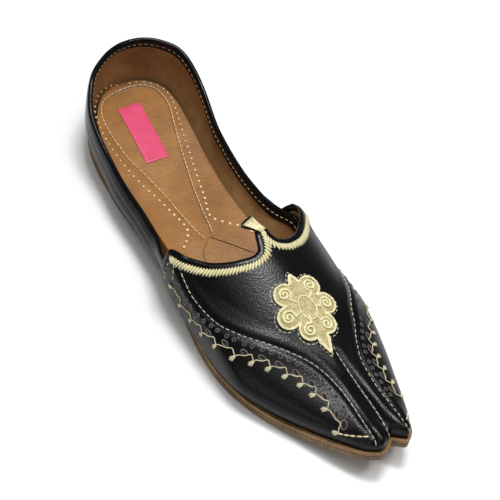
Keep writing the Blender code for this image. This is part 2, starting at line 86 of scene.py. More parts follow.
OUTLINE = [
    # along, middle, half
    (0.000, -0.088, 0.000), (0.005, -0.083, 0.207), (0.024, -0.067, 0.434), (0.060, -0.031, 0.610),
    (0.110, 0.036, 0.702), (0.180, 0.114, 0.728), (0.280, 0.186, 0.713), (0.385, 0.222, 0.690),
    (0.463, 0.224, 0.713), (0.544, 0.217, 0.802), (0.632, 0.191, 0.940), (0.703, 0.162, 1.000),
    (0.765, 0.143, 0.958), (0.828, 0.121, 0.835), (0.893, 0.095, 0.649), (0.946, 0.077, 0.475),
    (0.979, 0.067, 0.356), (0.996, 0.062, 0.240), (1.000, 0.050, 0.162), (0.993, 0.024, 0.083),
    (0.981, 0.010, 0.000),
]
SECTIONS = [
    # along, belly reach, belly height, ridge height, fullness
    (0.463, 0.200, 0.620, 1.180, 1.90), (0.521, 0.200, 0.560, 1.140, 1.85),
    (0.579, 0.145, 0.440, 1.030, 1.75), (0.655, 0.060, 0.300, 0.900, 1.70),
    (0.732, 0.030, 0.220, 0.760, 1.75), (0.808, 0.015, 0.160, 0.580, 1.85),
    (0.885, 0.008, 0.120, 0.410, 2.00), (0.952, 0.004, 0.100, 0.280, 2.20),
    (1.000, 0.002, 0.080, 0.220, 2.30),
]
BAND = [
    # along, height, bulge, lean
    (0.000, 1.030, 0.050, 0.150), (0.030, 1.020, 0.060, 0.125), (0.080, 0.970, 0.100, 0.050),
    (0.148, 0.750, 0.155, 0.020), (0.253, 0.560, 0.110, 0.000), (0.368, 0.485, 0.105, 0.000),
    (0.463, 0.470, 0.150, 0.000), (0.521, 0.570, 0.190, 0.000), (0.559, 0.660, 0.200, 0.000),
]
OUTER_THROAT = [
    # climb, along
    (0.000, 0.522), (0.300, 0.515), (0.420, 0.516), (0.520, 0.549), (0.650, 0.586), (0.780, 0.607),
    (0.880, 0.614), (0.950, 0.607), (1.000, 0.583),
]
INNER_THROAT = [
    # climb, along
    (0.000, 0.500), (0.080, 0.480), (0.150, 0.480), (0.220, 0.487), (0.280, 0.497), (0.340, 0.508),
    (0.420, 0.523), (0.500, 0.541), (0.580, 0.561), (0.660, 0.580), (0.750, 0.597), (0.840, 0.604),
    (0.900, 0.600), (0.940, 0.587), (0.965, 0.568), (1.000, 0.583),
]
PEAK_CLIMB = 0.967
TAIL_LEAN = (0.33, -0.93, -0.13)
# Lines sewn on the vamp: share from the throat to the toe, climb from the foot to the ridge
CURVED_STITCH = [
    # share, climb on the outer side, climb on the inner side
    (0.045, 0.450, 0.430), (0.100, 0.443, 0.415), (0.160, 0.457, 0.412), (0.240, 0.522, 0.445),
    (0.300, 0.606, 0.560), (0.360, 0.702, 0.670), (0.420, 0.783, 0.722), (0.480, 0.842, 0.775),
    (0.560, 0.880, 0.820), (0.650, 0.886, 0.832), (0.730, 0.860, 0.826), (0.790, 0.820, 0.800),
    (0.870, 0.720, 0.738), (0.930, 0.695, 0.715), (0.990, 0.690, 0.700),
]
# Buds of the two vines: share from the throat to the toe, climb from the foot to the ridge
OUTER_BUDS = [
    (0.069, 0.240), (0.139, 0.224), (0.213, 0.276), (0.283, 0.360), (0.347, 0.455), (0.392, 0.522),
    (0.422, 0.588), (0.458, 0.641), (0.507, 0.685), (0.563, 0.712), (0.626, 0.710), (0.711, 0.660),
    (0.832, 0.413),
]
INNER_BUDS = [
    (0.052, 0.150), (0.129, 0.131), (0.209, 0.145), (0.285, 0.235), (0.362, 0.305), (0.424, 0.425),
    (0.470, 0.525), (0.505, 0.600), (0.545, 0.652), (0.596, 0.673), (0.655, 0.664), (0.728, 0.632),
    (0.805, 0.545),
]
OUTER_WING_STITCH = [(0.034, 0.430), (0.046, 0.395), (0.058, 0.340), (0.067, 0.260)]
INNER_WING_STITCH = [(0.012, 0.330), (0.020, 0.270), (0.026, 0.190), (0.032, 0.120)]
CORNER_STITCH = [(0.012, 0.190), (0.011, 0.250), (0.011, 0.310), (0.014, 0.365)]
TOE_STITCH = [(0.830, 0.400), (0.852, 0.440), (0.872, 0.520), (0.885, 0.610), (0.890, 0.690)]
# Lines on the insole: place across and along from the back of the heel, in metres
OUTER_SEAM = [
    (-0.0036, 0.0073), (0.0040, 0.0084), (0.0125, 0.0120), (0.0180, 0.0200), (0.0203, 0.0320),
    (0.0200, 0.0500), (0.0182, 0.0590), (0.0164, 0.0675), (0.0150, 0.0767), (0.0141, 0.0866),
    (0.0135, 0.0966), (0.0126, 0.1060), (0.0110, 0.1135),
]
INNER_SEAM = [
    (-0.0036, 0.0073), (-0.0105, 0.0084), (-0.0158, 0.0126), (-0.0176, 0.0191), (-0.0170, 0.0274),
    (-0.0132, 0.0392), (-0.0085, 0.0536), (-0.0048, 0.0664), (-0.0022, 0.0752), (0.0008, 0.0866),
    (0.0031, 0.0956), (0.0048, 0.1040), (0.0066, 0.1110),
]
OUTER_DOTS = [
    (-0.0025, 0.0044), (0.0055, 0.0052), (0.0140, 0.0090), (0.0208, 0.0180), (0.0240, 0.0300),
    (0.0248, 0.0420), (0.0242, 0.0550), (0.0220, 0.0683), (0.0194, 0.0788), (0.0174, 0.0900),
    (0.0160, 0.1010), (0.0185, 0.1068), (0.0233, 0.1116),
]
INNER_DOTS = [
    (-0.0025, 0.0044), (-0.0120, 0.0070), (-0.0172, 0.0112), (-0.0200, 0.0163), (-0.0202, 0.0240),
    (-0.0172, 0.0355), (-0.0136, 0.0476), (-0.0101, 0.0608), (-0.0062, 0.0744), (-0.0025, 0.0873),
    (0.0015, 0.1000), (-0.0041, 0.1075), (-0.0082, 0.1114), (-0.0115, 0.1166),
]
SLIT = [(0.0088, 0.1112), (0.0013, 0.1193), (-0.0060, 0.1274)]
FAINT_SEAM = [(0.0107, 0.1125), (0.0149, 0.1162), (0.0175, 0.1205), (0.0190, 0.1300)]
LABEL_CORNERS = [(0.0084, 0.0192), (-0.0045, 0.0188), (0.0000, 0.0570), (0.0125, 0.0570)]

LOWER_SHARE = 0.30
# Beyond this share the vamp turns over its toe cap
TOE_SHARE = 0.82
CAP_LENGTH = 0.012
CORNER_ALONG = 0.972
GROOVE_DEPTH = 0.0022
GROOVE_WIDTH = 0.0034

HALF_BALL = BALL_WIDTH / 2
SOLE_TOP = OUTSOLE_THICKNESS + CLEARANCE + MIDSOLE_THICKNESS
FEATHER = SOLE_TOP + CLEARANCE
INSOLE_TOP = FEATHER + INSOLE_THICKNESS
CORNER = CORNER_ALONG * LENGTH
# The outer swell is held back from here, over the last stretch before the limit
OUTER_LIMIT = 0.0463
EASING = 0.003
UP = Vector((0, 0, 1))

# Troughs that sewing presses in the vamp, the puff beside them, and where they fade at the toe
PRESS_REACH = 0.006
PRESS_FADE = 0.93
PRESS_END = 0.985
TROUGH_DEPTH = 0.00050
TROUGH_WIDTH = 0.0011
PUFF_HEIGHT = 0.00022
PUFF_GAP = 0.0030
PUFF_WIDTH = 0.0018

# Rows of stitches: length, gap, width, height and lift of each stitch
LEATHER_SEWING = (0.0021, 0.0007, 0.00038, 0.00036, 0.00012)
TOE_SEWING = (0.0024, 0.0004, 0.00074, 0.00056, 0.00015)
WING_SEWING = (0.0020, 0.0009, 0.00045, 0.0004, 0.0001)
MEDALLION_SEWING = (0.0015, 0.00065, 0.00042, 0.00040, 0.00012)
SEAM_SEWING = (0.0026, 0.00018, 0.00050, 0.00036, 0.00022)
LABEL_SEWING = (0.0013, 0.0005, 0.0003, 0.0003, 0.0)

# Profiles of the folded edges: across and away from the edge, as shares of their width and depth
BINDING_SHAPE = [
    (-0.50, -0.25), (-0.52, 0.10), (-0.52, 0.40), (-0.49, 0.66), (-0.40, 0.85), (-0.22, 0.97),
    (0.0, 1.0), (0.22, 0.97), (0.40, 0.85), (0.49, 0.66), (0.52, 0.40), (0.52, 0.10), (0.50, -0.25),
]
FOLD_SHAPE = [
    (0.42, -0.55), (0.52, 0.0), (0.50, 0.45), (0.38, 0.80), (0.10, 1.0), (-0.20, 0.96), (-0.44, 0.70),
    (-0.50, 0.30), (-0.50, -0.10),
]
FOLD_WIDTH = 0.0022
# The whipped band on the throat: how far apart its strands lie, and how far each slants along the edge
BAND_STEP = 0.00068
BAND_SLANT = 0.0018
# The fish tail's outline, as shares of its half width and length
TAIL_SHAPE = [
    (-0.36, -0.15), (-0.38, 0.15), (-0.55, 0.48), (-0.90, 0.82), (-1.0, 0.97), (-0.72, 1.06),
    (-0.30, 1.08), (0.0, 1.10), (0.30, 1.08), (0.72, 1.06), (1.0, 0.97), (0.90, 0.82), (0.55, 0.48),
    (0.38, 0.15), (0.36, -0.15),
]
TAIL_LENGTH = 0.0084
TAIL_HALF_WIDTH = 0.0042
# A vine's stem between two buds: share of the way, and how far it bends towards the curved stitch line
STEM_STEPS = [
    (0.0, 0.0), (0.10, 0.0007), (0.28, 0.0010), (0.48, 0.0013), (0.66, 0.0023), (0.78, 0.0022),
    (0.88, 0.0010), (1.0, 0.0),
]
PETAL_LENGTH = 0.0031
# Room to the curved stitch line that an oval hole and a round one need
OVAL_ROOM = 0.0042
ROUND_ROOM = 0.0066
# Rounds that make up the medallion: across and along from its middle, and radius
LOBES = [
    (0.0066, -0.0092, 0.0048), (0.0098, 0.0003, 0.0049), (0.0038, 0.0086, 0.0047),
    (-0.0046, 0.0088, 0.0046), (-0.0094, 0.0003, 0.0048), (-0.0064, -0.0092, 0.0047),
]
LEAF = [(0.0, -0.0115, 0.0028), (0.0, -0.0135, 0.0020), (0.0, -0.0150, 0.0012), (0.0, -0.0162, 0.0005)]
DROP = [
    (0.0, 0.0120, 0.0030), (0.0, 0.0150, 0.0026), (0.0, 0.0175, 0.0017), (0.0, 0.0196, 0.0009),
    (0.0, 0.0210, 0.0003),
]
# Share of the medallion's reach, and how far its ground lies off the vamp there
PAD_LEVELS = [
    (0.0, 0.0010), (0.25, 0.0010), (0.5, 0.0010), (0.72, 0.0010), (0.88, 0.0009), (0.96, 0.0006),
    (1.0, -0.0002),
]
OVAL_MIDDLE = -0.0003
COIL_TURNS = 1.70
INSOLE_ROWS = 330
INSOLE_COLUMNS = 96
RIM_PUFF = 0.0005
DOT_STEP = 0.0037
FLOOR_REACH = 3.0

# The soft swell of the upper on the outer side: where it rises and falls along the foot, how high it
# reaches in front of the quarter, and how much fuller it is there
SWELL_REAR = (0.030, 0.085)
SWELL_FRONT = (0.232, 0.172)
SWELL_TOP = 0.026
SWELL_TOP_SPAN = (0.108, 0.136)
SWELL_GAIN = 0.35
SWELL_GAIN_SPAN = (0.110, 0.150)
# The cleft between the toe lobes deepens over this share of the length
GROOVE_SPAN = (0.78, 0.96)
# Powers that round off the toe cap, for its height and its advance
CAP_DROP = 0.62
CAP_ADVANCE = 0.85
FRONT_REACH = 0.995
FLARE_SPAN = (JUNCTION + 0.022, JUNCTION - 0.004)
# The quarter: how far up it bulges, where it begins to lean, and where it takes the vamp's shape
BULGE_TOP = 0.62
LEAN_START = 0.45
WAIST_SPAN = (0.43, 0.49)
WING_DROP = 0.006
WING_SPAN = (JUNCTION + 0.002, JUNCTION + QUARTER_LAP)
TUCK_SPAN = (JUNCTION - 0.03, JUNCTION - 0.004)
# Climb from which the folded edge and the whipped band run, on the outer and the inner side
FOLD_START = {1: 0.24, -1: 0.10}
BAND_START = {1: 0.37, -1: 0.24}
BAND_WIDTH = 0.0030
BAND_TOOTH = 0.0007
COLLAR_DASH = 0.0023
COLLAR_STEP = 0.0030
COLLAR_END = 0.004

dice = random.Random(7)


def blend(value, start, end):
    share = min(max((value - start) / (end - start), 0.0), 1.0)
    return share * share * (3 - 2 * share)


def read_table(rows, place, column):
    """A smooth curve through one column of a table, with no overshoot between rows."""
    count = len(rows)
    if place <= rows[0][0]:
        return rows[0][column]
    if place >= rows[-1][0]:
        return rows[-1][column]
    steps = [rows[i + 1][0] - rows[i][0] for i in range(count - 1)]
    slopes = [(rows[i + 1][column] - rows[i][column]) / steps[i] for i in range(count - 1)]

    def tangent(i):
        if i == 0:
            return slopes[0]
        if i == count - 1:
            return slopes[-1]
        before, after = slopes[i - 1], slopes[i]
        if before * after <= 0:
            return 0.0
        return 2 * before * after / (before + after)

    i = max(k for k in range(count - 1) if rows[k][0] <= place)
    t = (place - rows[i][0]) / steps[i]
    a, b = rows[i][column], rows[i + 1][column]
    return (a * (2 * t**3 - 3 * t**2 + 1) + b * (3 * t**2 - 2 * t**3)
            + steps[i] * (tangent(i) * (t**3 - 2 * t**2 + t) + tangent(i + 1) * (t**3 - t**2)))


def spline(points, samples):
    """A Catmull-Rom curve through points, with each span cut in samples."""
    count = len(points)
    row = [2 * points[0] - points[1]] + list(points) + [2 * points[-1] - points[-2]]
    out = []
    for i in range(1, count):
        a, b, c, d = row[i - 1:i + 3]
        for k in range(samples):
            t = k / samples
            out.append(0.5 * (2 * b + (c - a) * t + (2 * a - 5 * b + 4 * c - d) * t**2
                              + (3 * b - a - 3 * c + d) * t**3))
    out.append(points[-1].copy())
    return out


def sole_side(side, inset=0.0, samples=4):
    """One side of the sole's outline from heel to toe, drawn in by an inset."""
    rows = [Vector((HALF_BALL * (mid + side * half), LENGTH * along)) for along, mid, half in OUTLINE]
    line = spline(rows, samples)
    if inset == 0.0:
        return line
    moved = []
    for i, point in enumerate(line):
        before = line[max(i - 1, 0)]
        after = line[min(i + 1, len(line) - 1)]
        run = (after - before).normalized()
        inward = Vector((-run.y, run.x)) * side
        if i == 0:
            inward = Vector((0, 1))
        if i == len(line) - 1:
            inward = Vector((0, -1.25))
        moved.append(point + inward * inset)
    return moved


def floor_rise(y):
    arch = 0.0
    if HEEL_FLAT_END < y < FOREFOOT_FLAT_START:
        share = (y - HEEL_FLAT_END) / (FOREFOOT_FLAT_START - HEEL_FLAT_END)
        arch = ARCH_RISE * math.sin(math.pi * share)**2
    spring = max(y - FOREFOOT_FLAT_END, 0) / (LENGTH - FOREFOOT_FLAT_END)
    return arch + TOE_SPRING * spring**2


def insole_rise(y):
    return floor_rise(y) + INSOLE_TOP + HEEL_PAD * blend(y, HEEL_PAD_END, HEEL_PAD_START)


def x_between(a, b, y):
    return a.x + (b.x - a.x) * (y - a.y) / (b.y - a.y)


def reach_at(line, y):
    """Where a line from heel to toe first crosses y."""
    for a, b in zip(line, line[1:]):
        if a.y <= y <= b.y and b.y > a.y:
            return x_between(a, b, y)
    return line[0].x


FOOT_LINES = {side: sole_side(side, SOLE_MARGIN, 12) for side in (1, -1)}


def front_line():
    """The front of the vamp's foot, from the inner corner round the toe to the outer one."""
    half = {}
    for side in (1, -1):
        line = FOOT_LINES[side]
        top = max(range(len(line)), key=lambda i: line[i].y)
        start = next(i for i in range(len(line)) if line[i].y >= CORNER)
        start = min(start, top)
        half[side] = line[start:]
    return half[-1] + half[1][::-1][1:]


FRONT = front_line()


def front_at(x):
    for a, b in zip(FRONT, FRONT[1:]):
        if a.x <= x <= b.x:
            return a.y + (b.y - a.y) * (x - a.x) / max(b.x - a.x, 1e-9)
    return CORNER


def foot_reach(y, side):
    return reach_at(FOOT_LINES[side], min(y, CORNER))


SECTION_STORE = {}


def section(y):
    """The sizes of the upper across the foot at y."""
    key = round(y, 5)
    if key not in SECTION_STORE:
        lateral, medial = foot_reach(y, 1), foot_reach(y, -1)
        along = y / LENGTH
        SECTION_STORE[key] = {
            "middle": (lateral + medial) / 2,
            "foot": (lateral - medial) / 2,
            "out": HALF_BALL * read_table(SECTIONS, along, 1),
            "belly": INSTEP_HEIGHT * read_table(SECTIONS, along, 2),
            "ridge": INSTEP_HEIGHT * read_table(SECTIONS, along, 3),
            "fullness": read_table(SECTIONS, along, 4),
        }
    return SECTION_STORE[key]


def groove(x, y, middle):
    """How deep the cleft between the two toe lobes is."""
    return GROOVE_DEPTH * blend(y / LENGTH, *GROOVE_SPAN) * math.exp(-((x - middle) / GROOVE_WIDTH)**2)


def near_puff(y, rise, side):
    """The soft upper swells a little past the sole along the outer side of the foot."""
    if side < 0:
        return 0.0
    collar = COLLAR_HEIGHT * read_table(BAND, min(y / LENGTH, SECTIONS[0][0]), 1)
    top = collar + (SWELL_TOP - collar) * blend(y, *SWELL_TOP_SPAN)
    if rise >= top:
        return 0.0
    along = blend(y, *SWELL_REAR) * blend(y, *SWELL_FRONT)
    fuller = 1 + SWELL_GAIN * blend(y, *SWELL_GAIN_SPAN)
    return NEAR_PUFF * fuller * along * math.sin(math.pi * (rise / top)**0.75)


def eased(x):
    """Holds the outer swell back before it passes the solids' box."""
    start = OUTER_LIMIT - EASING
    if x < start:
        return x
    return OUTER_LIMIT - EASING * math.exp((start - x) / EASING)


def vamp_point(climb, side, share):
    """A point of the vamp: climb runs from the foot to the ridge, share from the throat to the toe."""
    start = LENGTH * read_table(OUTER_THROAT if side > 0 else INNER_THROAT, climb, 1)
    above = max(climb - LOWER_SHARE, 0) / (1 - LOWER_SHARE)
    low = min(climb / LOWER_SHARE, 1.0)
    angle = above * math.pi / 2
    toe = section(CORNER)
    power = 2 / toe["fullness"]
    if climb < LOWER_SHARE:
        end = CORNER - CAP_LENGTH * (1 - low)
    else:
        end = front_at(toe["middle"] + side * toe["foot"] * math.cos(angle)**power * FRONT_REACH)
    cap_start = end - CAP_LENGTH
    if share < TOE_SHARE:
        y = start + (cap_start - start) * share / TOE_SHARE
        cap = 1.0
    else:
        turn = (share - TOE_SHARE) / (1 - TOE_SHARE) * math.pi / 2
        y = cap_start + CAP_LENGTH * math.sin(turn)**CAP_ADVANCE + TOE_PUFF * math.sin(2 * turn)
        cap = math.cos(turn)**CAP_DROP if share < 0.9999 else 0.0
    at = section(y)
    power = 2 / at["fullness"]
    flare = (OUTER_FLARE if side > 0 else WING_FLARE) * low * blend(y, *FLARE_SPAN)
    belly = at["foot"] + at["out"] + flare
    if climb < LOWER_SHARE:
        out = at["foot"] + (belly - at["foot"]) * math.sin(low * math.pi / 2)
        rise = at["belly"] * low
    else:
        out = belly * math.cos(angle)**power
        rise = at["belly"] + (at["ridge"] - at["belly"]) * math.sin(angle)**power
    out += near_puff(y, rise, side) * cap
    x = at["middle"] + side * out
    if climb < LOWER_SHARE:
        x = at["middle"] + side * (at["foot"] + (out - at["foot"]) * cap)
    x = eased(x)
    rise -= groove(x, y, at["middle"])
    return Vector((x, y, FEATHER + floor_rise(y) + rise * cap))


def band_stations():
    """Places along the quarter's foot, from one wing round the heel to the other."""
    sides = []
    for side in (1, -1):
        whole = sole_side(side, SOLE_MARGIN, 10)
        line = [p for p in whole if p.y < BINDING_END - 0.0008]
        line.append(Vector((reach_at(whole, BINDING_END), BINDING_END)))
        line += [p for p in whole if BINDING_END + 0.0008 < p.y < JUNCTION + QUARTER_LAP]
        sides.append(line)
    return sides[0][::-1] + sides[1][1:]


def quarter_offset(y, rise):
    """How far the quarter stands out over its foot."""
    along = y / LENGTH
    at = section(max(y, SECTIONS[0][0] * LENGTH))
    top = COLLAR_HEIGHT * read_table(BAND, along, 1)
    bulge = HALF_BALL * read_table(BAND, along, 2)
    lean = HALF_BALL * read_table(BAND, along, 3)
    share = min(rise / (BULGE_TOP * top), 1.0)
    over = max(rise / top - LEAN_START, 0) / (1 - LEAN_START)
    front = blend(along, *WAIST_SPAN)
    rear = bulge * math.sin(share * math.pi / 2) - lean * over**2
    fore = at["out"] * math.sin(min(rise / at["belly"], 1.0) * math.pi / 2)
    return rear * (1 - front) + fore * front


def quarter_grid():
    """Rows of places up the quarter, each from wing to wing."""
    levels = 18
    stations = band_stations()
    count = len(stations)
    grid = []
    for level in range(levels + 1):
        line = []
        for i, foot in enumerate(stations):
            before = stations[max(i - 1, 0)]
            after = stations[min(i + 1, count - 1)]
            run = (after - before).normalized()
            outward = Vector((-run.y, run.x))
            top = COLLAR_HEIGHT * read_table(BAND, foot.y / LENGTH, 1) - COLLAR_BINDING_DEPTH - CLEARANCE
            top -= WING_DROP * blend(foot.y, *WING_SPAN)
            rise = top * level / levels
            tuck = VAMP_STEP * blend(foot.y, *TUCK_SPAN)
            side = 1 if outward.x > 0 else -1
            point = foot + outward * (quarter_offset(foot.y, rise) - tuck + near_puff(foot.y, rise, side))
            line.append(Vector((eased(point.x), point.y, FEATHER + floor_rise(foot.y) + rise)))
        grid.append(line)
    return grid


def peak_place(spots):
    """Which of a row of climbs and sides is nearest to the cusp, on the inner side."""
    return min(range(len(spots)), key=lambda i: abs(spots[i][0] - PEAK_CLIMB) + (9 if spots[i][1] > 0 else 0))


def grid_normals(grid):
    rows, columns = len(grid), len(grid[0])
    normals = []
    for i in range(rows):
        line = []
        for j in range(columns):
            along = grid[min(i + 1, rows - 1)][j] - grid[max(i - 1, 0)][j]
            across = grid[i][min(j + 1, columns - 1)] - grid[i][max(j - 1, 0)]
            line.append(along.cross(across).normalized())
        normals.append(line)
    return normals


# Where the shapes' own origin lies in the frame
SOLE_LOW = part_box("outsole")[0]
LEFT_EDGE = min(p.x for p in sole_side(-1, 0.0, 4))
SHIFT = Vector((SOLE_LOW[0] - LEFT_EDGE, SOLE_LOW[1], 0.0))


# Materials

def give(node, values):
    """Sets a node's inputs by their names."""
    for key, value in dict(values).items():
        node.inputs[key].default_value = value


class Skin:
    """A material: one shader, with its textures laid in the object's own space."""

    def __init__(self, name, colour, roughness, values=()):
        self.material = bpy.data.materials.new(name)
        self.material.use_nodes = True
        self.shader = self.material.node_tree.nodes["Principled BSDF"]
        give(self.shader, {"Base Color": (*colour, 1.0), "Roughness": roughness})
        give(self.shader, values)
        self.place = self.add("TexCoord")

    def add(self, kind, values=(), **settings):
        node = self.material.node_tree.nodes.new("ShaderNode" + kind)
        for key, value in settings.items():
            setattr(node, key, value)
        give(node, values)
        return node

    def wire(self, source, out, node, into):
        self.material.node_tree.links.new(source.outputs[out], node.inputs[into])

    def texture(self, kind, values, **settings):
        node = self.add("Tex" + kind, values, **settings)
        self.wire(self.place, "Object", node, "Vector")
        return node

    def join(self, operation, first, first_out, second, second_out):
        node = self.add("Math", operation=operation)
        self.wire(first, first_out, node, 0)
        self.wire(second, second_out, node, 1)
        return node

    def ramp(self, source, out, low, high, values=()):
        node = self.add("MapRange", {"From Min": low, "From Max": high, **dict(values)})
        self.wire(source, out, node, "Value")
        return node

    def colours(self, factor, out, first, second):
        mix = self.add("Mix", data_type="RGBA")
        give(mix, {"A": (*first, 1.0), "B": (*second, 1.0)})
        self.wire(factor, out, mix, "Factor")
        self.wire(mix, "Result", self.shader, "Base Color")

    def bump(self, source, out, strength, depth):
        node = self.add("Bump", {"Strength": strength, "Distance": depth})
        self.wire(source, out, node, "Height")
        self.wire(node, "Normal", self.shader, "Normal")
        return node


def black_leather(name, roughness, grain, shade):
    finish = {"Specular IOR Level": 0.06, "Coat Weight": 0.24, "Coat Roughness": 0.13}
    skin = Skin(name, shade, roughness, finish)
    pores = skin.texture("Voronoi", {"Scale": 1150.0})
    fine = skin.texture("Noise", {"Scale": 2600.0, "Detail": 3.0})
    broad = skin.texture("Noise", {"Scale": 45.0, "Detail": 4.0})
    bump = skin.bump(skin.join("ADD", pores, "Distance", fine, "Fac"), "Value", 0.60, grain)
    skin.wire(bump, "Normal", skin.shader, "Coat Normal")
    gloss = skin.ramp(broad, "Fac", 0.30, 0.70, {"To Min": roughness - 0.07, "To Max": roughness + 0.09})
    skin.wire(gloss, "Result", skin.shader, "Roughness")
    skin.colours(broad, "Fac", shade, [c * 1.9 for c in shade])
    return skin.material


def tan_leather(name, light, dark, roughness, grain, pebble):
    skin = Skin(name, light, roughness)
    pores = skin.texture("Voronoi", {"Scale": pebble})
    patches = skin.texture("Noise", {"Scale": 55.0, "Detail": 6.0, "Roughness": 0.62})
    specks = skin.texture("Noise", {"Scale": 1500.0})
    skin.colours(skin.ramp(patches, "Fac", 0.32, 0.68), "Result", dark, light)
    skin.bump(skin.join("ADD", pores, "Distance", specks, "Fac"), "Value", 0.6, grain)
    return skin.material


def sole_leather(name, light, dark):
    """Leather board seen at its cut edge: fine upright lines and darker bands."""
    skin = Skin(name, light, 0.7)
    squeeze = skin.add("Mapping", {"Scale": (1.0, 1.0, 0.10)})
    skin.wire(skin.place, "Object", squeeze, "Vector")
    lines = skin.add("TexNoise", {"Scale": 1400.0, "Detail": 4.0})
    skin.wire(squeeze, "Vector", lines, "Vector")
    patches = skin.texture("Noise", {"Scale": 90.0, "Detail": 5.0})
    both = skin.join("MULTIPLY", lines, "Fac", patches, "Fac")
    skin.colours(skin.ramp(both, "Value", 0.14, 0.36), "Result", dark, light)
    skin.bump(lines, "Fac", 0.7, 0.00015)
    return skin.material


def thread(name, light, dark, roughness=0.62, twist=1900.0, sheen=0.25):
    """Twisted cotton thread, with fine slanting plies and uneven tone."""
    skin = Skin(name, light, roughness, {"Sheen Weight": sheen})
    slant = {"wave_type": "BANDS", "bands_direction": "DIAGONAL"}
    plies = skin.texture("Wave", {"Scale": twist / 6.0, "Distortion": 2.0}, **slant)
    tone = skin.texture("Noise", {"Scale": 420.0, "Detail": 3.0})
    skin.colours(skin.ramp(tone, "Fac", 0.30, 0.72), "Result", dark, light)
    skin.bump(plies, "Fac", 0.5, 0.00012)
    return skin.material


def label_cloth():
    skin = Skin("label_cloth", (0.62, 0.050, 0.135), 0.45, {"Sheen Weight": 0.3})
    weave = skin.texture("Wave", {"Scale": 700.0}, wave_type="BANDS", bands_direction="Y")
    tone = skin.texture("Noise", {"Scale": 120.0})
    skin.colours(tone, "Fac", (0.56, 0.040, 0.115), (0.68, 0.060, 0.155))
    skin.bump(weave, "Fac", 0.35, 0.00006)
    return skin.material


BLACK = black_leather("black_leather", 0.31, 0.00010, (0.0018, 0.0019, 0.0021))
PIPING = black_leather("piping_leather", 0.30, 0.00006, (0.0014, 0.0014, 0.0016))
LINING = tan_leather("lining_leather", (0.390, 0.215, 0.081), (0.215, 0.108, 0.038), 0.55, 0.00008, 1100.0)
INSOLE_SKIN = tan_leather("insole_leather", (0.31, 0.14, 0.031), (0.20, 0.082, 0.017), 0.50, 0.00024, 760.0)
MIDSOLE_SKIN = sole_leather("midsole_leather", (0.300, 0.170, 0.070), (0.150, 0.080, 0.030))
OUTSOLE_SKIN = sole_leather("outsole_leather", (0.200, 0.128, 0.056), (0.090, 0.056, 0.024))
IVORY = thread("ivory_thread", (0.82, 0.76, 0.46), (0.57, 0.51, 0.27))
# A darker copy of the ivory thread: painted shade on the low strands that lie between the raised ones in the
# whipped band.
IVORY_PAINTED_SHADE = thread("ivory_thread_painted_shade", (0.50, 0.44, 0.22), (0.32, 0.28, 0.12))
# A darker ivory for the medallion's ground and the cusp's low strands: painted shade where they sink between
# raised cords.
IVORY_SUNKEN_PAINTED_SHADE = thread("ivory_sunken_painted_shade", (0.54, 0.46, 0.23), (0.33, 0.28, 0.12), 0.8, 1600.0, 0.0)
STITCH = thread("stitch_thread", (0.72, 0.69, 0.53), (0.44, 0.41, 0.29), 0.55, 2400.0, 0.0)
CREAM = thread("cream_thread", (0.85, 0.68, 0.42), (0.62, 0.44, 0.22), 0.55, 2400.0, 0.0)
VINE = thread("vine_thread", (0.58, 0.53, 0.35), (0.35, 0.31, 0.19), 0.65, 2000.0, 0.0)
RING = thread("ring_edge", (0.200, 0.150, 0.125), (0.080, 0.060, 0.052), 0.45, 2200.0, 0.0)
# Rim thread of the round holes, tinted a dim bluish grey: a painted highlight over the rim's own colour.
ROUND_RIM_PAINTED_HIGHLIGHT = thread("round_rim_painted_highlight", (0.130, 0.130, 0.150), (0.050, 0.050, 0.060), 0.45, 2200.0, 0.0)
# A near-black matte patch: painted shade for the inside of each pierced hole.
HOLE_PAINTED_SHADE = thread("pierced_hole_painted_shade", (0.005, 0.005, 0.006), (0.002, 0.002, 0.002), 0.9, 900.0, 0.0)
SEAM_DARK = thread("seam_shadow", (0.055, 0.023, 0.008), (0.030, 0.012, 0.004), 0.8, 900.0, 0.0)
LABEL_SKIN = label_cloth()
LABEL_THREAD = thread("label_thread", (0.62, 0.03, 0.12), (0.45, 0.02, 0.08))


# Mesh helpers

def ellipse(centre, along, across, count, phase=0.0):
    """Places round a centre, between the ends of two half axes."""
    turns = [2 * math.pi * (k + phase) / count for k in range(count)]
    return [centre + along * math.cos(turn) + across * math.sin(turn) for turn in turns]


def border(rows, columns):
    """The places round the edge of a grid, in order."""
    there = [(0, j) for j in range(columns)] + [(i, columns - 1) for i in range(1, rows)]
    back = [(rows - 1, j) for j in range(columns - 2, -1, -1)] + [(i, 0) for i in range(rows - 2, 0, -1)]
    return there + back


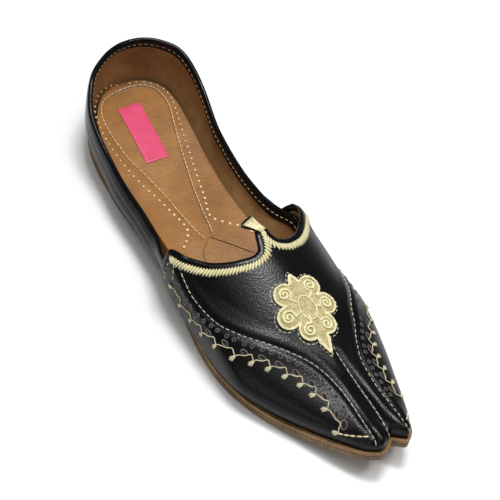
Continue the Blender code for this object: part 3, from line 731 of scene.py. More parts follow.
class Sheaf:
    """Collects many small strands and sheets into one mesh."""

    def __init__(self):
        self.points = []
        self.faces = []
        self.marks = []

    def mark_new(self, mark):
        """Gives the faces made since the last call their material."""
        self.marks += [mark] * (len(self.faces) - len(self.marks))

    def link_rings(self, first, rows, sides, closed=False):
        """Faces between neighbouring rings of points, and at the two ends unless they meet."""
        for i in range(rows if closed else rows - 1):
            low, high = first + i * sides, first + (i + 1) % rows * sides
            for k in range(sides):
                n = (k + 1) % sides
                self.faces.append((low + k, low + n, high + n, high + k))
        if not closed:
            self.faces.append(tuple(first + k for k in reversed(range(sides))))
            self.faces.append(tuple(first + (rows - 1) * sides + k for k in range(sides)))

    def strand(self, path, ups, width, height, sides=6, taper=0.55, mark=0, closed=False):
        """A rounded strand, width across and height along ups: a ring, or with closed tapered ends."""
        count, first = len(path), len(self.points)
        for i, point in enumerate(path):
            ahead, behind = min(i + 1, count - 1), max(i - 1, 0)
            size = taper if i in (0, count - 1) else 1.0
            if closed:
                ahead, behind, size = (i + 1) % count, i - 1, 1.0
            run = (path[ahead] - path[behind]).normalized()
            across = run.cross(ups[i]).normalized()
            up = across.cross(run).normalized()
            self.points += ellipse(point, across * (width / 2 * size), up * (height / 2 * size), sides, 0.5)
        self.link_rings(first, count, sides, closed)
        self.mark_new(mark)

    def swept(self, path, across, away, shape, width, depth):
        """A profile carried along a path, closed at both ends."""
        first = len(self.points)
        for place, side, up in zip(path, across, away):
            self.points += [place + side * (a * width) + up * (b * depth) for a, b in shape]
        self.link_rings(first, len(path), len(shape))
        self.mark_new(0)

    def dome(self, centre, up, along, length, width, height, mark=0, rings=3, sides=10):
        """A small rounded knot or grain on the surface."""
        across = up.cross(along).normalized()
        along = across.cross(up).normalized()
        first = len(self.points)
        for r in range(rings):
            tilt = r / rings * math.pi / 2
            size = math.cos(tilt) / 2
            middle = centre + up * (height * math.sin(tilt))
            self.points += ellipse(middle, along * (length * size), across * (width * size), sides)
        self.points.append(centre + up * height)
        self.link_rings(first, rings, sides)
        last = self.faces.pop()
        top = len(self.points) - 1
        self.faces += [(a, b, top) for a, b in zip(last, last[1:] + last[:1])]
        self.mark_new(mark)

    def sheet(self, grid, mark=0):
        columns, first = len(grid[0]), len(self.points)
        self.points += [p for line in grid for p in line]
        for i in range(len(grid) - 1):
            for a in range(first + i * columns, first + (i + 1) * columns - 1):
                self.faces.append((a, a + 1, a + columns + 1, a + columns))
        self.mark_new(mark)


def make_piece(name, sheaf, skins, stands_for=(), smooth=True, facing_up=False):
    """Makes a mesh object in the frame, gives it its materials and lets it ride on the shoe."""
    mesh = bpy.data.meshes.new(name)
    mesh.from_pydata([tuple(p + SHIFT) for p in sheaf.points], [], sheaf.faces)
    for skin in skins:
        mesh.materials.append(skin)
    mesh.polygons.foreach_set("material_index", sheaf.marks)
    shape = bmesh.new()
    shape.from_mesh(mesh)
    bmesh.ops.recalc_face_normals(shape, faces=shape.faces)
    if facing_up and sum(face.normal.z * face.calc_area() for face in shape.faces) < 0:
        bmesh.ops.reverse_faces(shape, faces=shape.faces)
    shape.to_mesh(mesh)
    shape.free()
    if smooth:
        mesh.shade_smooth()
    mesh.update()
    item = bpy.data.objects.new(name, mesh)
    bpy.context.scene.collection.objects.link(item)
    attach(item, "root")
    if stands_for:
        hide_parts(*stands_for)
    return item


def round_edges(item, width, **settings):
    bevel = item.modifiers.new("round", "BEVEL")
    bevel.width = width
    bevel.segments = 2
    for key, value in settings.items():
        setattr(bevel, key, value)


def two_skins(grid, wall, foot_rows, foot_columns=()):
    """A wall whose outer skin is marked 0, its inner skin 1 and its closed edge 2."""
    inner = []
    for i, (line, normals) in enumerate(zip(grid, grid_normals(grid))):
        row = []
        for j, (point, away) in enumerate(zip(line, normals)):
            if i in foot_rows or j in foot_columns:
                away = Vector((away.x, away.y, 0)).normalized()
            row.append(point - away * wall)
        inner.append(row)
    rows, columns = len(grid), len(grid[0])
    sheaf = Sheaf()
    sheaf.sheet(grid, 0)
    sheaf.sheet(inner, 1)
    edge = [i * columns + j for i, j in border(rows, columns)]
    inside = rows * columns
    sheaf.faces += [(b, a, inside + a, inside + b) for a, b in zip(edge, edge[1:] + edge[:1])]
    sheaf.mark_new(2)
    return sheaf


def lengths(path):
    """How far each point lies along its path."""
    total = [0.0]
    for a, b in zip(path, path[1:]):
        total.append(total[-1] + (b - a).length)
    return total


def at_length(path, total, s):
    """The point of a path at a distance along it."""
    s = min(max(s, 0.0), total[-1])
    low = min(max(bisect.bisect_right(total, s) - 1, 0), len(total) - 2)
    span = max(total[low + 1] - total[low], 1e-12)
    return path[low].lerp(path[low + 1], (s - total[low]) / span)


def nearest(path, point):
    return min(path, key=lambda q: (q - point).length)


def bed_ends(places, ups, depth):
    """Sinks both ends of a stitch into what it is sewn to."""
    for end in (0, -1):
        places[end] -= ups[end] * depth


# The vamp

SHARE_STEPS = [i / 118 * TOE_SHARE for i in range(118)]
SHARE_STEPS += [TOE_SHARE + (1 - TOE_SHARE) * i / 26 for i in range(27)]
CLIMBS = [i / 92 for i in range(93)]
COLUMNS = [(c, 1) for c in CLIMBS] + [(c, -1) for c in CLIMBS[-2::-1]]
PEAK_COLUMN = peak_place(COLUMNS)


def on_vamp(rows, side):
    """Places on the vamp, from rows of share and climb."""
    return [vamp_point(climb, side, share) for share, climb in rows]


def centre_row(first, last, count):
    """The stitched middle line, a little to the inner side until it nears the notch of the toe."""
    shares = [first + (last - first) * i / count for i in range(count + 1)]
    return on_vamp([(share, 0.970 + 0.030 * blend(share, 0.78, 0.93)) for share in shares], -1)


STITCH_LINES = {
    1: spline(on_vamp([(share, outer) for share, outer, _ in CURVED_STITCH], 1), 8),
    -1: spline(on_vamp([(share, inner) for share, _, inner in CURVED_STITCH], -1), 8),
}
RIDGE_LINE = centre_row(0.56, 1.0, 40)


def press_stitches(grid):
    """Draws the leather down in soft troughs along the sewn lines, with a low puff beside them."""
    normals = grid_normals(grid)
    margin = Vector((PRESS_REACH, PRESS_REACH))
    boxes = []
    for path in (STITCH_LINES[1], STITCH_LINES[-1], RIDGE_LINE):
        low = Vector((min(p.x for p in path), min(p.y for p in path))) - margin
        high = Vector((max(p.x for p in path), max(p.y for p in path))) + margin
        boxes.append((path, low, high))
    for share, line, outs in zip(SHARE_STEPS, grid, normals):
        if share > PRESS_END:
            continue
        fade = 1 - blend(share, PRESS_FADE, PRESS_END)
        for j, point in enumerate(line):
            drop = 0.0
            for path, low, high in boxes:
                if low.x < point.x < high.x and low.y < point.y < high.y:
                    gap = (nearest(path, point) - point).length
                    drop += TROUGH_DEPTH * math.exp(-(gap / TROUGH_WIDTH)**2)
                    drop -= PUFF_HEIGHT * math.exp(-((gap - PUFF_GAP) / PUFF_WIDTH)**2)
            line[j] = point - outs[j] * (drop * fade)
    return grid


VAMP = press_stitches([[vamp_point(climb, side, share) for climb, side in COLUMNS] for share in SHARE_STEPS])
VAMP_NORMALS = grid_normals(VAMP)


def skin_tree(grid):
    rows, columns = len(grid), len(grid[0])
    starts = [i * columns + j for i in range(rows - 1) for j in range(columns - 1)]
    faces = [(a, a + columns, a + columns + 1, a + 1) for a in starts]
    return BVHTree.FromPolygons([p for line in grid for p in line], faces)


VAMP_TREE = skin_tree(VAMP)


def settle(point, lift=0.0):
    """The nearest place on the vamp's outer skin, lifted off it, and the outward direction there."""
    place, normal, _, _ = VAMP_TREE.find_nearest(point)
    return place + normal * lift, normal


def settle_path(path, lift):
    places, ups = zip(*(settle(point, lift) for point in path))
    return list(places), ups


def sew(sheaf, path, size, mark=0, flat=False, jitter=0.12):
    """A row of single stitches along a path, each bedded at its ends in the vamp or in flat ground."""
    dash, gap, width, height, lift = size
    total = lengths(path)
    s = 0.0
    while s + dash < total[-1]:
        run = dash * (1 + dice.uniform(-jitter, jitter))
        places = [at_length(path, total, s + run * k / 3) for k in range(4)]
        if flat:
            places, ups = [p + UP * lift for p in places], [UP] * 4
        else:
            places, ups = settle_path(places, lift)
        bed_ends(places, ups, height * 0.35)
        sheaf.strand(places, ups, width, height, 6, 0.6, mark)
        s += dash + gap


def make_vamp():
    sheaf = two_skins(VAMP, VAMP_WALL, (len(VAMP) - 1,), (0, len(COLUMNS) - 1))
    make_piece("vamp", sheaf, [BLACK, LINING, PIPING], ("upper",))


def make_quarter():
    sheaf = two_skins(quarter_grid(), QUARTER_WALL, (0,))
    make_piece("quarter", sheaf, [BLACK, LINING, PIPING])


def rim_frames(grid):
    """Points, across and away directions along the top edge of the quarter, up to the wings."""
    path, across, away = [], [], []
    for foot, point, under, side in zip(band_stations(), grid[-1], grid[-2], grid_normals(grid)[-1]):
        if foot.y <= JUNCTION + QUARTER_LAP - 0.001:
            path.append(point - side * (QUARTER_WALL / 2))
            across.append(side)
            away.append((point - under).normalized())
    return path, across, away


def make_collar():
    path, across, away = rim_frames(quarter_grid())
    edge = Sheaf()
    edge.swept(path, across, away, BINDING_SHAPE, COLLAR_BINDING_WIDTH, COLLAR_BINDING_DEPTH + CLEARANCE)
    make_piece("collar_edge", edge, [PIPING], ("collar_binding",))
    inward, rise = 0.53 * COLLAR_BINDING_WIDTH, 0.30 * COLLAR_BINDING_DEPTH
    row = [place - side * inward + up * rise for place, side, up in zip(path, across, away)]
    total = lengths(row)
    sheaf = Sheaf()
    s = COLLAR_END
    while s + COLLAR_END < total[-1]:
        spots = [s + COLLAR_DASH * k / 3 for k in range(4)]
        piece = [at_length(row, total, spot) for spot in spots]
        ups = [-at_length(across, total, spot).normalized() for spot in spots]
        bed_ends(piece, ups, 0.0002)
        sheaf.strand(piece, ups, 0.00036, 0.00034, 6, 0.6)
        s += COLLAR_STEP
    make_piece("collar_stitches", sheaf, [STITCH])


def throat_frames():
    """Points along the throat's cut edge, from the outer wing over the cusp to the inner wing."""
    first, second, turned = VAMP[0], VAMP[2], VAMP_NORMALS[0]
    rows = []
    for j, (climb, side) in enumerate(COLUMNS):
        if climb < FOLD_START[side]:
            continue
        edge = (first[min(j + 1, len(first) - 1)] - first[max(j - 1, 0)]).normalized()
        back = turned[j].cross(edge).normalized()
        if back.dot(first[j] - second[j]) < 0:
            back = -back
        rows.append((first[j], turned[j], back, (climb, side)))
    return rows


def make_folds(rows, half):
    for name, node, slot, part in (
            ("throat_fold_outer", "throat_binding_lateral", "throat_piping_lateral", rows[:half]),
            ("throat_fold_inner", "throat_binding_medial", "throat_piping_medial", rows[half + 1:])):
        outs, backs = [row[1] for row in part], [row[2] for row in part]
        middle = [row[0] - row[1] * (VAMP_WALL / 2) for row in part]
        sheaf = Sheaf()
        sheaf.swept(middle, outs, backs, FOLD_SHAPE, FOLD_WIDTH, THROAT_FOLD_DEPTH)
        make_piece(name, sheaf, [PIPING], (node,))


def make_throat():
    rows = throat_frames()
    half = peak_place([row[3] for row in rows])
    make_folds(rows, half)
    sheaf = Sheaf()
    for side, part in ((1, rows[:half + 1]), (-1, rows[half:][::-1])):
        part = [row for row in part if row[3][0] > BAND_START[side] or row[3][1] != side]
        row = [point for point, _, _, _ in part]
        heads = [back for _, _, back, _ in part]
        total = lengths(row)
        for i in range(int(total[-1] / BAND_STEP)):
            s = i * BAND_STEP
            slanted = min(s + BAND_SLANT, total[-1])
            back = at_length(heads, total, s).normalized()
            back_ahead = at_length(heads, total, slanted).normalized()
            tooth = i % 2
            near_cusp = blend(total[-1] - s, 0.0, 0.010)
            reach = BAND_WIDTH + BAND_TOOTH * tooth + dice.uniform(-0.0002, 0.0002)
            reach *= 0.60 + 0.40 * near_cusp
            low = at_length(row, total, slanted) - back_ahead * (0.0001 + 0.0005 * (1 - tooth))
            high = at_length(row, total, s) - back * reach
            piece, ups = settle_path([low.lerp(high, k / 4) for k in range(5)], 0.00026 + 0.00012 * tooth)
            bed_ends(piece, ups, 0.00025)
            width = 0.00090 + dice.uniform(-0.00006, 0.00006)
            # Every other strand lies lower and takes the darker ivory: painted shade between the raised
            # strands.
            sheaf.strand(piece, ups, width, 0.00070, 6, 0.55, 1 - tooth)
    make_piece("throat_band", sheaf, [IVORY, IVORY_PAINTED_SHADE])


def make_cusp():
    """The little fish tail at the middle of the throat: black leather edge, wrapped in ivory thread."""
    peak = VAMP[0][PEAK_COLUMN]
    back = Vector(TAIL_LEAN).normalized()
    side = back.cross(UP).normalized()
    side = -side if side.x < 0 else side
    up = side.cross(back).normalized()
    up = -up if up.z < 0 else up

    def tail_point(a, b, rise):
        return peak + side * (a * TAIL_HALF_WIDTH) + back * (b * TAIL_LENGTH) + up * rise

    leather = Sheaf()
    for level in (0.0002, -0.0012):
        leather.points += [tail_point(a, b, level + 0.0005 * b * b) for a, b in TAIL_SHAPE]
    leather.link_rings(0, 2, len(TAIL_SHAPE))
    leather.mark_new(0)
    item = make_piece("cusp", leather, [PIPING], ("cusp_tip",), smooth=False)
    round_edges(item, 0.0003)
    sheaf = Sheaf()
    for i, a in enumerate((-0.86, -0.62, -0.42, -0.22, 0.0, 0.22, 0.42, 0.62, 0.86)):
        piece = []
        for k in range(6):
            b = -0.12 + k / 5 * 1.04
            piece.append(tail_point(a * (0.36 + 0.60 * max(b, 0)**1.5), b, 0.00048 + 0.0005 * b * abs(b)))
        # The two lower strands take the darker ivory: painted shade in the grooves of the wrap.
        dark = 1 if i in (2, 6) else 0
        sheaf.strand(piece, [up] * 6, 0.00092, 0.0006 - 0.0002 * dark, 6, 0.6, dark)
    for b in (-0.02, 0.06):
        piece = [tail_point(x * 0.40, b, 0.0009) for x in (-1, -0.5, 0, 0.5, 1)]
        sheaf.strand(piece, [up] * 5, 0.0006, 0.0004, 6, 0.6)
    make_piece("cusp_wrap", sheaf, [IVORY, IVORY_SUNKEN_PAINTED_SHADE])


def make_vamp_stitches():
    sheaf = Sheaf()
    for line in (STITCH_LINES[1], STITCH_LINES[-1], centre_row(0.530, 0.985, 60)):
        sew(sheaf, line, LEATHER_SEWING)
    for side, rows in ((1, TOE_STITCH), (-1, TOE_STITCH[2:])):
        sew(sheaf, spline(on_vamp(rows, side), 6), TOE_SEWING, 1)
    for side, rows in ((1, OUTER_WING_STITCH), (-1, INNER_WING_STITCH), (1, CORNER_STITCH)):
        sew(sheaf, spline(on_vamp(rows, side), 6), WING_SEWING)
    make_piece("vamp_stitches", sheaf, [STITCH, IVORY])


def pierce(rings, spot, long_way, half_length, half_width, rim):
    """One pierced hole: a dark dimple with a sewn rim; the dimple's near-black colour is painted shade."""
    centre, up = settle(spot, 0.0001)
    cross = up.cross(long_way).normalized()
    long_way = cross.cross(up).normalized()
    ring, ups = settle_path(ellipse(centre, long_way * half_length, cross * half_width, 16), 0.00008)
    rings.strand(ring, ups, 0.00044, 0.00034, mark=rim, closed=True)
    # The dimple takes the near-black material: painted shade inside the hole.
    rings.dome(centre - up * 0.0001, up, long_way, 1.7 * half_length, 1.5 * half_width, 0.00008, 1)


def lay_bud(sheaf, place, run, upward):
    """Three short petals that lean down and back."""
    lean = (-upward * 0.80 - run * 0.60).normalized()
    for turn, size in ((-0.36, 0.88), (0.36, 0.88), (0.0, 1.0)):
        direction = (lean * math.cos(turn) + run * math.sin(turn)).normalized()
        tip = place + direction * (PETAL_LENGTH * size)
        piece, ups = settle_path([place.lerp(tip, k / 5) for k in range(6)], 0.00030)
        piece[2] += ups[2] * 0.0002
        piece[3] += ups[3] * 0.0003
        sheaf.strand(piece, ups, 0.00115, 0.00070, 6, 0.30)


def pierce_between(rings, seam, foot, span, run, upward):
    """An oval hole and two round ones between a stem and the curved stitch line, where there is room."""
    def room_over(share):
        spot = foot + span * share
        goal = nearest(seam, spot)
        return spot, goal, (goal - spot).length

    spot, goal, room = room_over(0.36)
    if room < OVAL_ROOM:
        return
    long_way = (run * 0.97 - upward * 0.22).normalized()
    pierce(rings, spot.lerp(goal, min(0.0026, 0.42 * room) / room), long_way, 0.00175, 0.00092, 0)
    for share in (0.24, 0.70):
        spot, goal, room = room_over(share)
        if room > ROUND_ROOM:
            # Round holes get the dim bluish rim: painted highlight on a real sewn rim.
            pierce(rings, spot.lerp(goal, (0.56 * room + 0.0008) / room), run, 0.00082, 0.00078, 2)


def make_vines():
    sheaf, rings = Sheaf(), Sheaf()
    for side, rows in ((1, OUTER_BUDS), (-1, INNER_BUDS)):
        feet = on_vamp(rows, side)
        seam = STITCH_LINES[side]
        for i, foot in enumerate(feet):
            place, up = settle(foot)
            ahead = feet[min(i + 1, len(feet) - 1)] - feet[max(i - 1, 0)]
            run = (ahead - up * ahead.dot(up)).normalized()
            upward = up.cross(run).normalized()
            if upward.dot(nearest(seam, place) - place) < 0:
                upward = -upward
            lay_bud(sheaf, place, run, upward)
            if i + 1 < len(feet):
                span = feet[i + 1] - foot
                line = [foot + span * a + upward * b for a, b in STEM_STEPS]
                path, ups = settle_path(spline(line, 4), 0.00026)
                sheaf.strand(path, ups, 0.00052, 0.00044, 6, 0.7)
                pierce_between(rings, seam, foot, span, run, upward)
    pierce(rings, vamp_point(0.600, 1, 0.806), Vector((0.55, 0.80, -0.2)), 0.0021, 0.0013, 0)
    make_piece("vine_embroidery", sheaf, [VINE])
    make_piece("pierced_rings", rings, [RING, HOLE_PAINTED_SHADE, ROUND_RIM_PAINTED_HIGHLIGHT])


# The medallion, in a plan of its own: across and along from its middle

def pad_reach(turn):
    """How far the medallion's outline lies from its middle in a direction."""
    ray = Vector((math.cos(turn), math.sin(turn)))
    best = 0.008
    for x, y, r in LOBES + LEAF + DROP:
        centre = Vector((x, y))
        along = ray.dot(centre)
        gap = (centre - ray * along).length
        if gap < r and along > 0:
            best = max(best, along + math.sqrt(r * r - gap * gap))
    return best


PAD_STEPS = 240
PAD_REACH = [pad_reach(2 * math.pi * k / PAD_STEPS) for k in range(PAD_STEPS)]


def on_pad(x, y, lift):
    """A place of the medallion's plan, laid on the vamp, and the outward direction there."""
    at = Vector((section(PAD_MIDDLE)["middle"] + x, PAD_MIDDLE + y, 0.060))
    place, normal, _, _ = VAMP_TREE.ray_cast(at, -UP)
    if place is None:
        place, normal, _, _ = VAMP_TREE.find_nearest(at)
    if normal.z < 0:
        normal = -normal
    return place + normal * lift, normal


def lay_cord(sheaf, flat, lift, *size, **form):
    """A strand along a line of the plan."""
    places, ups = zip(*(on_pad(x, y, lift) for x, y in flat))
    sheaf.strand(places, ups, *size, **form)


def pad_outline(count, share=1.0, extra=0.0):
    """The medallion's outline, drawn in to a share of its reach or moved out by a length."""
    line = []
    for k in range(count):
        turn = 2 * math.pi * (k % PAD_STEPS) / PAD_STEPS
        reach = PAD_REACH[k % PAD_STEPS] * share + extra
        line.append((math.cos(turn) * reach, math.sin(turn) * reach))
    return line


def in_oval(x, y, half_width, half_length):
    return (x / half_width)**2 + ((y - OVAL_MIDDLE) / half_length)**2 < 1


def make_coils(cords):
    for i, (x, y, r) in enumerate(LOBES):
        outward = math.atan2(y, x)
        spin = 1 if i < 3 else -1
        coil = []
        for k in range(50):
            t = k / 49
            radius = (r - 0.0018) * (1 - 0.84 * t)
            angle = outward + math.pi * 0.9 * spin + spin * 2 * math.pi * COIL_TURNS * t
            coil.append((x + math.cos(angle) * radius, y + math.sin(angle) * radius))
        lead = (x * 0.35, y * 0.35)
        halfway = ((lead[0] + coil[0][0]) / 2, (lead[1] + coil[0][1]) / 2)
        lay_cord(cords, [lead, halfway] + coil, 0.00125, 0.00118, 0.00095, 8, 0.8)


def make_tips(cords):
    """Two cords that meet at the point of the leaf, and of the drop."""
    for shape in (LEAF, DROP):
        (_, root, half), (_, tip, _) = shape[0], shape[-1]
        for spread in (-1, 1):
            across = [spread * (half - 0.0009) * (1 - k / 9)**0.8 for k in range(10)]
            along = [root + (tip - root) * k / 9 * 0.92 for k in range(10)]
            lay_cord(cords, list(zip(across, along)), 0.00118, 0.00075, 0.00065, 6, 0.7)


def sow(cords, x, y, along, length, width):
    place, up = on_pad(x, y, 0.0010)
    cords.dome(place, up, along, length, width, 0.00042, 0, 2, 8)


def make_seeds(cords):
    """Seed stitches in rows: close ones on the oval, and scattered ones round the coils."""
    for row in range(-5, 6):
        for column in range(-4, 5):
            x = column * 0.00105 + (0.00052 if row % 2 else 0.0)
            y = OVAL_MIDDLE + row * 0.00092
            if in_oval(x, y, 0.0031, 0.0048):
                sow(cords, x, y, Vector((0.75, 0.66, 0)), 0.00098, 0.00062)
    for row in range(-20, 26):
        for column in range(-15, 16):
            x = column * 0.00100 + (0.00050 if row % 2 else 0.0)
            y = row * 0.00088
            turn = math.atan2(y, x) % (2 * math.pi)
            outside = math.hypot(x, y) > PAD_REACH[int(turn / (2 * math.pi) * PAD_STEPS) % PAD_STEPS] - 0.0012
            in_coil = min(math.hypot(x - a, y - b) - c for a, b, c in LOBES) < -0.0016
            if outside or in_coil or in_oval(x, y, 0.0036, 0.0053):
                continue
            x += dice.uniform(-0.0001, 0.0001)
            spin = 0.72 + dice.uniform(-0.5, 0.5)
            sow(cords, x, y, Vector((math.cos(spin), math.sin(spin), 0)), 0.00096, 0.00064)


def make_medallion():
    ground = Sheaf()
    grid = []
    for level, lift in PAD_LEVELS:
        grid.append([on_pad(x, y, lift)[0] for x, y in pad_outline(PAD_STEPS + 1, level)])
    ground.sheet(grid[::-1])
    # The ground takes the darker ivory: painted shade between the cords and seeds laid over it.
    make_piece("medallion_ground", ground, [IVORY_SUNKEN_PAINTED_SHADE], ("medallion",), facing_up=True)
    cords = Sheaf()
    lay_cord(cords, pad_outline(PAD_STEPS, 1.0, -0.00045), 0.00105, 0.00112, 0.00085, 8, closed=True)
    make_coils(cords)
    oval = ellipse(Vector((0, OVAL_MIDDLE)), Vector((0.0037, 0)), Vector((0, 0.0054)), 44)
    lay_cord(cords, oval, 0.00120, 0.00085, 0.00075, 6, closed=True)
    make_tips(cords)
    make_seeds(cords)
    make_piece("medallion_cords", cords, [IVORY])
    edge = Sheaf()
    sew(edge, [on_pad(x, y, 0.0)[0] for x, y in pad_outline(PAD_STEPS + 1, 1.0, 0.00125)], MEDALLION_SEWING)
    make_piece("medallion_edge_stitches", edge, [STITCH])


# The insole

def flat_line(rows, samples=6):
    return spline([Vector(row) for row in rows], samples)


INSOLE_INSET = SOLE_MARGIN + QUARTER_WALL + 2.5 * CLEARANCE
INNER_LINES = {side: [p for p in sole_side(side, INSOLE_INSET, 10) if p.y < INSOLE_FRONT] for side in (1, -1)}
SEAMS = {1: flat_line(OUTER_SEAM), -1: flat_line(INNER_SEAM)}
SEAM_LOW = min(p.y for p in SEAMS[1])
SEAM_HIGH = min(SEAMS[1][-1].y, SEAMS[-1][-1].y)


def across_at(line, y, side):
    """Where a seam crosses y, in front of its turn at the heel."""
    best = None
    for a, b in zip(line, line[1:]):
        if min(a.y, b.y) <= y <= max(a.y, b.y) and abs(b.y - a.y) > 1e-9:
            x = x_between(a, b, y)
            if best is None or side * x > side * best:
                best = x
    return best


def rim_lift(x, y):
    """The raised strip: nothing on the seat inside the seams, full height outside them."""
    inside = -1.0
    if SEAM_LOW <= y <= SEAM_HIGH:
        low, high = across_at(SEAMS[-1], y, -1), across_at(SEAMS[1], y, 1)
        inside = min(x - low, high - x, SEAM_HIGH - y + 0.002, y - SEAM_LOW)
    share = blend(inside, 0.0006, -0.0003)
    puff = blend(y, SEAM_HIGH + 0.02, SEAM_HIGH)
    if inside < 0 and y < SEAM_HIGH:
        puff = blend(-inside, 0.0, 0.004)
    fade = 1 - 0.75 * blend(y, SEAM_HIGH + 0.004, SEAM_HIGH + 0.030)
    return RIM_THICKNESS * share * fade + RIM_PUFF * puff


def insole_span(y):
    return reach_at(INNER_LINES[-1], y), reach_at(INNER_LINES[1], y)


def insole_height(x, y):
    medial, lateral = insole_span(y)
    half = max((lateral - medial) / 2, 0.001)
    share = abs(x - (lateral + medial) / 2) / half
    dish = 0.0009 * (max(share - 0.55, 0) / 0.45)**2
    dent = -0.0006 * math.exp(-((x - 0.001) / 0.012)**2 - ((y - 0.033) / 0.020)**2)
    return insole_rise(y) + CLEARANCE + rim_lift(x, y) + dish + dent


def lay(points, lift=0.0):
    """The places on the insole over or under these points."""
    return [Vector((p.x, p.y, insole_height(p.x, p.y) + lift)) for p in points]


def drop_down(points):
    """The places under these points on the sole."""
    return [Vector((p.x, p.y, floor_rise(p.y) + FEATHER)) for p in points]


def make_insole():
    start = INNER_LINES[1][0].y + 0.0002
    end = INSOLE_FRONT - 0.0006
    grid = []
    for i in range(INSOLE_ROWS + 1):
        y = start + (end - start) * (i / INSOLE_ROWS)
        medial, lateral = insole_span(y)
        across = [medial + (lateral - medial) * j / INSOLE_COLUMNS for j in range(INSOLE_COLUMNS + 1)]
        grid.append([Vector((x, y, insole_height(x, y))) for x in across])
    inner_edge, outer_edge = [line[0] for line in grid], [line[-1] for line in grid]
    sheaf = Sheaf()
    sheaf.sheet(grid)
    sheaf.sheet([grid[-1], drop_down(grid[-1])])
    sheaf.sheet(list(zip(drop_down(inner_edge), inner_edge)))
    sheaf.sheet(list(zip(outer_edge, drop_down(outer_edge))))
    make_piece("insole_top", sheaf, [INSOLE_SKIN], ("insole", "insole_rim"), facing_up=True)


def make_insole_stitches():
    sheaf = Sheaf()
    for side in (1, -1):
        sew(sheaf, lay(SEAMS[side]), SEAM_SEWING, flat=True, jitter=0.05)
    for rows in (OUTER_DOTS, INNER_DOTS):
        path = lay(flat_line(rows, 8))
        total = lengths(path)
        count = int(total[-1] / DOT_STEP)
        for k in range(count + 1):
            spot = at_length(path, total, k * total[-1] / count) + UP * 0.0001
            bigger = 1 + 0.35 * blend(spot.y, 0.050, 0.100)
            sheaf.dome(spot, UP, Vector((0.3, 1, 0)), 0.0014 * bigger, 0.0011 * bigger, 0.00055)
    make_piece("insole_stitches", sheaf, [CREAM])
    seams = Sheaf()
    for rows, width in ((SLIT, 0.0007), (FAINT_SEAM, 0.0003)):
        path = lay(flat_line(rows, 8), 0.00004)
        seams.strand(path, [UP] * len(path), width, 0.00025, 6, 0.5)
    make_piece("insole_seams", seams, [SEAM_DARK])


def label_line(t, shares):
    """Places across the label, at a share of its length."""
    near_outer, near_inner, far_inner, far_outer = (Vector(corner) for corner in LABEL_CORNERS)
    inner, outer = near_inner.lerp(far_inner, t), near_outer.lerp(far_outer, t)
    return [inner.lerp(outer, share) for share in shares]


def make_label():
    rows, columns = 40, 14
    shares = [j / columns for j in range(columns + 1)]
    grid = []
    for i in range(rows + 1):
        t = i / rows
        line = []
        for s, p in zip(shares, label_line(t, shares)):
            edge = min(s * 13, (1 - s) * 13, t * 38, (1 - t) * 38)
            lift = 0.00075 - 0.00025 * math.exp(-edge / 0.7) + 0.00006 * math.sin(t * 23) * math.sin(s * 7)
            line += lay([p], lift)
        grid.append(line)
    spots = border(rows + 1, columns + 1)
    ring = [grid[i][j] for i, j in spots + spots[:1]]
    sheaf = Sheaf()
    sheaf.sheet(grid)
    sheaf.sheet([[p - UP * 0.0005 for p in ring], ring])
    make_piece("label_cloth", sheaf, [LABEL_SKIN], ("label",), facing_up=True)
    stitches = Sheaf()
    for t in (0.035, 0.965):
        row = label_line(t, [0.06 + 0.88 * k / 12 for k in range(13)])
        sew(stitches, lay(row, 0.00078), LABEL_SEWING, flat=True, jitter=0.05)
    make_piece("label_stitches", stitches, [LABEL_THREAD])


def dress_sole():
    for name, skin in (("outsole", OUTSOLE_SKIN), ("midsole", MIDSOLE_SKIN)):
        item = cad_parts[name]
        for entry in item.material_slots:
            entry.material = skin
        round_edges(item, 0.00045, limit_method="ANGLE", angle_limit=math.radians(50))


make_vamp()
make_quarter()
make_collar()
make_throat()
make_cusp()
make_vamp_stitches()
make_vines()
make_medallion()
make_insole()
make_insole_stitches()
make_label()
dress_sole()


# Floor, light and camera

def make_floor():
    mesh = bpy.data.meshes.new("floor")
    corners = [(x * FLOOR_REACH, y * FLOOR_REACH, 0) for x, y in ((-1, -1), (1, -1), (1, 1), (-1, 1))]
    mesh.from_pydata(corners, [], [(0, 1, 2, 3)])
    mesh.materials.append(Skin("floor_pale", (0.90, 0.90, 0.90), 0.75, {"Specular IOR Level": 0.2}).material)
    floor = bpy.data.objects.new("floor", mesh)
    bpy.context.scene.collection.objects.link(floor)


def area_light(name, place, aim, size, power):
    lamp = bpy.data.lights.new(name, "AREA")
    lamp.shape = "RECTANGLE"
    lamp.size, lamp.size_y = size
    lamp.energy = power
    item = bpy.data.objects.new(name, lamp)
    item.location = place
    item.rotation_euler = (Vector(aim) - Vector(place)).to_track_quat("-Z", "Y").to_euler()
    bpy.context.scene.collection.objects.link(item)


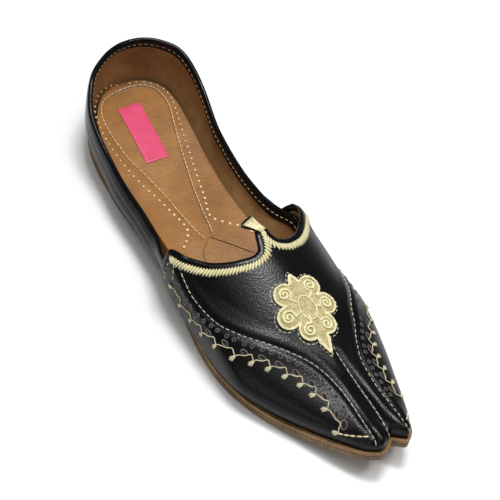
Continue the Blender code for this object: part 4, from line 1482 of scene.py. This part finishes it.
def make_light():
    world = bpy.data.worlds.new("studio")
    bpy.context.scene.world = world
    world.use_nodes = True
    back = world.node_tree.nodes["Background"]
    back.inputs["Color"].default_value = (1.0, 1.0, 1.0, 1.0)
    back.inputs["Strength"].default_value = 0.18
    area_light("key", (-0.06, -0.10, 1.10), (0, 0.02, 0), (0.34, 0.22), 8.0)
    area_light("ceiling", (0.0, 0.05, 1.20), (0, 0.02, 0), (1.2, 1.0), 6.5)
    area_light("toe", (-0.42, 0.36, 1.06), (0, 0.09, 0), (0.26, 0.26), 2.5)
    area_light("side", (0.80, 0.50, 0.45), (0, 0, 0), (0.5, 0.5), 1.0)
    bpy.context.scene.view_settings.view_transform = "Standard"


# The camera stands where the photograph was taken from, and is turned to this one shoe
PHOTO_AZIMUTH = 35.3
PHOTO_ELEVATION = 49.0
PHOTO_ROLL = 8.0
PHOTO_DISTANCE = 0.606
PHOTO_FOCAL = 1138.0
PHOTO_AIM = Vector((0.0483, 0.1125, 0.0123))
SHOE_MIDDLE_X = 346.0
SHOE_MIDDLE_Y = 239.0
IMAGE_SIZE = 500.0
CLOSER = 1.16
SENSOR = 36.0


def make_camera():
    azimuth, elevation, roll = (math.radians(v) for v in (PHOTO_AZIMUTH, PHOTO_ELEVATION, PHOTO_ROLL))
    level = math.cos(elevation)
    back = Vector((math.sin(azimuth) * level, math.cos(azimuth) * level, math.sin(elevation)))
    right = (-back).cross(UP).normalized()
    up = right.cross(-back).normalized()
    rolled_right = right * math.cos(roll) + up * math.sin(roll)
    rolled_up = -right * math.sin(roll) + up * math.cos(roll)
    aside = rolled_right * ((SHOE_MIDDLE_X - IMAGE_SIZE / 2) / PHOTO_FOCAL)
    above = rolled_up * ((IMAGE_SIZE / 2 - SHOE_MIDDLE_Y) / PHOTO_FOCAL)
    aim = (-back + aside + above).normalized()
    new_right = (rolled_right - aim * rolled_right.dot(aim)).normalized()
    new_up = new_right.cross(aim).normalized()
    data = bpy.data.cameras.new("camera")
    data.sensor_width = SENSOR
    data.lens = SENSOR * PHOTO_FOCAL * CLOSER / IMAGE_SIZE
    data.clip_start = 0.01
    camera = bpy.data.objects.new("camera", data)
    turn = Matrix((new_right, new_up, -aim)).transposed().to_4x4()
    camera.matrix_world = Matrix.Translation(PHOTO_AIM + SHIFT + back * PHOTO_DISTANCE) @ turn
    bpy.context.scene.collection.objects.link(camera)
    bpy.context.scene.camera = camera


make_floor()
make_light()
make_camera()
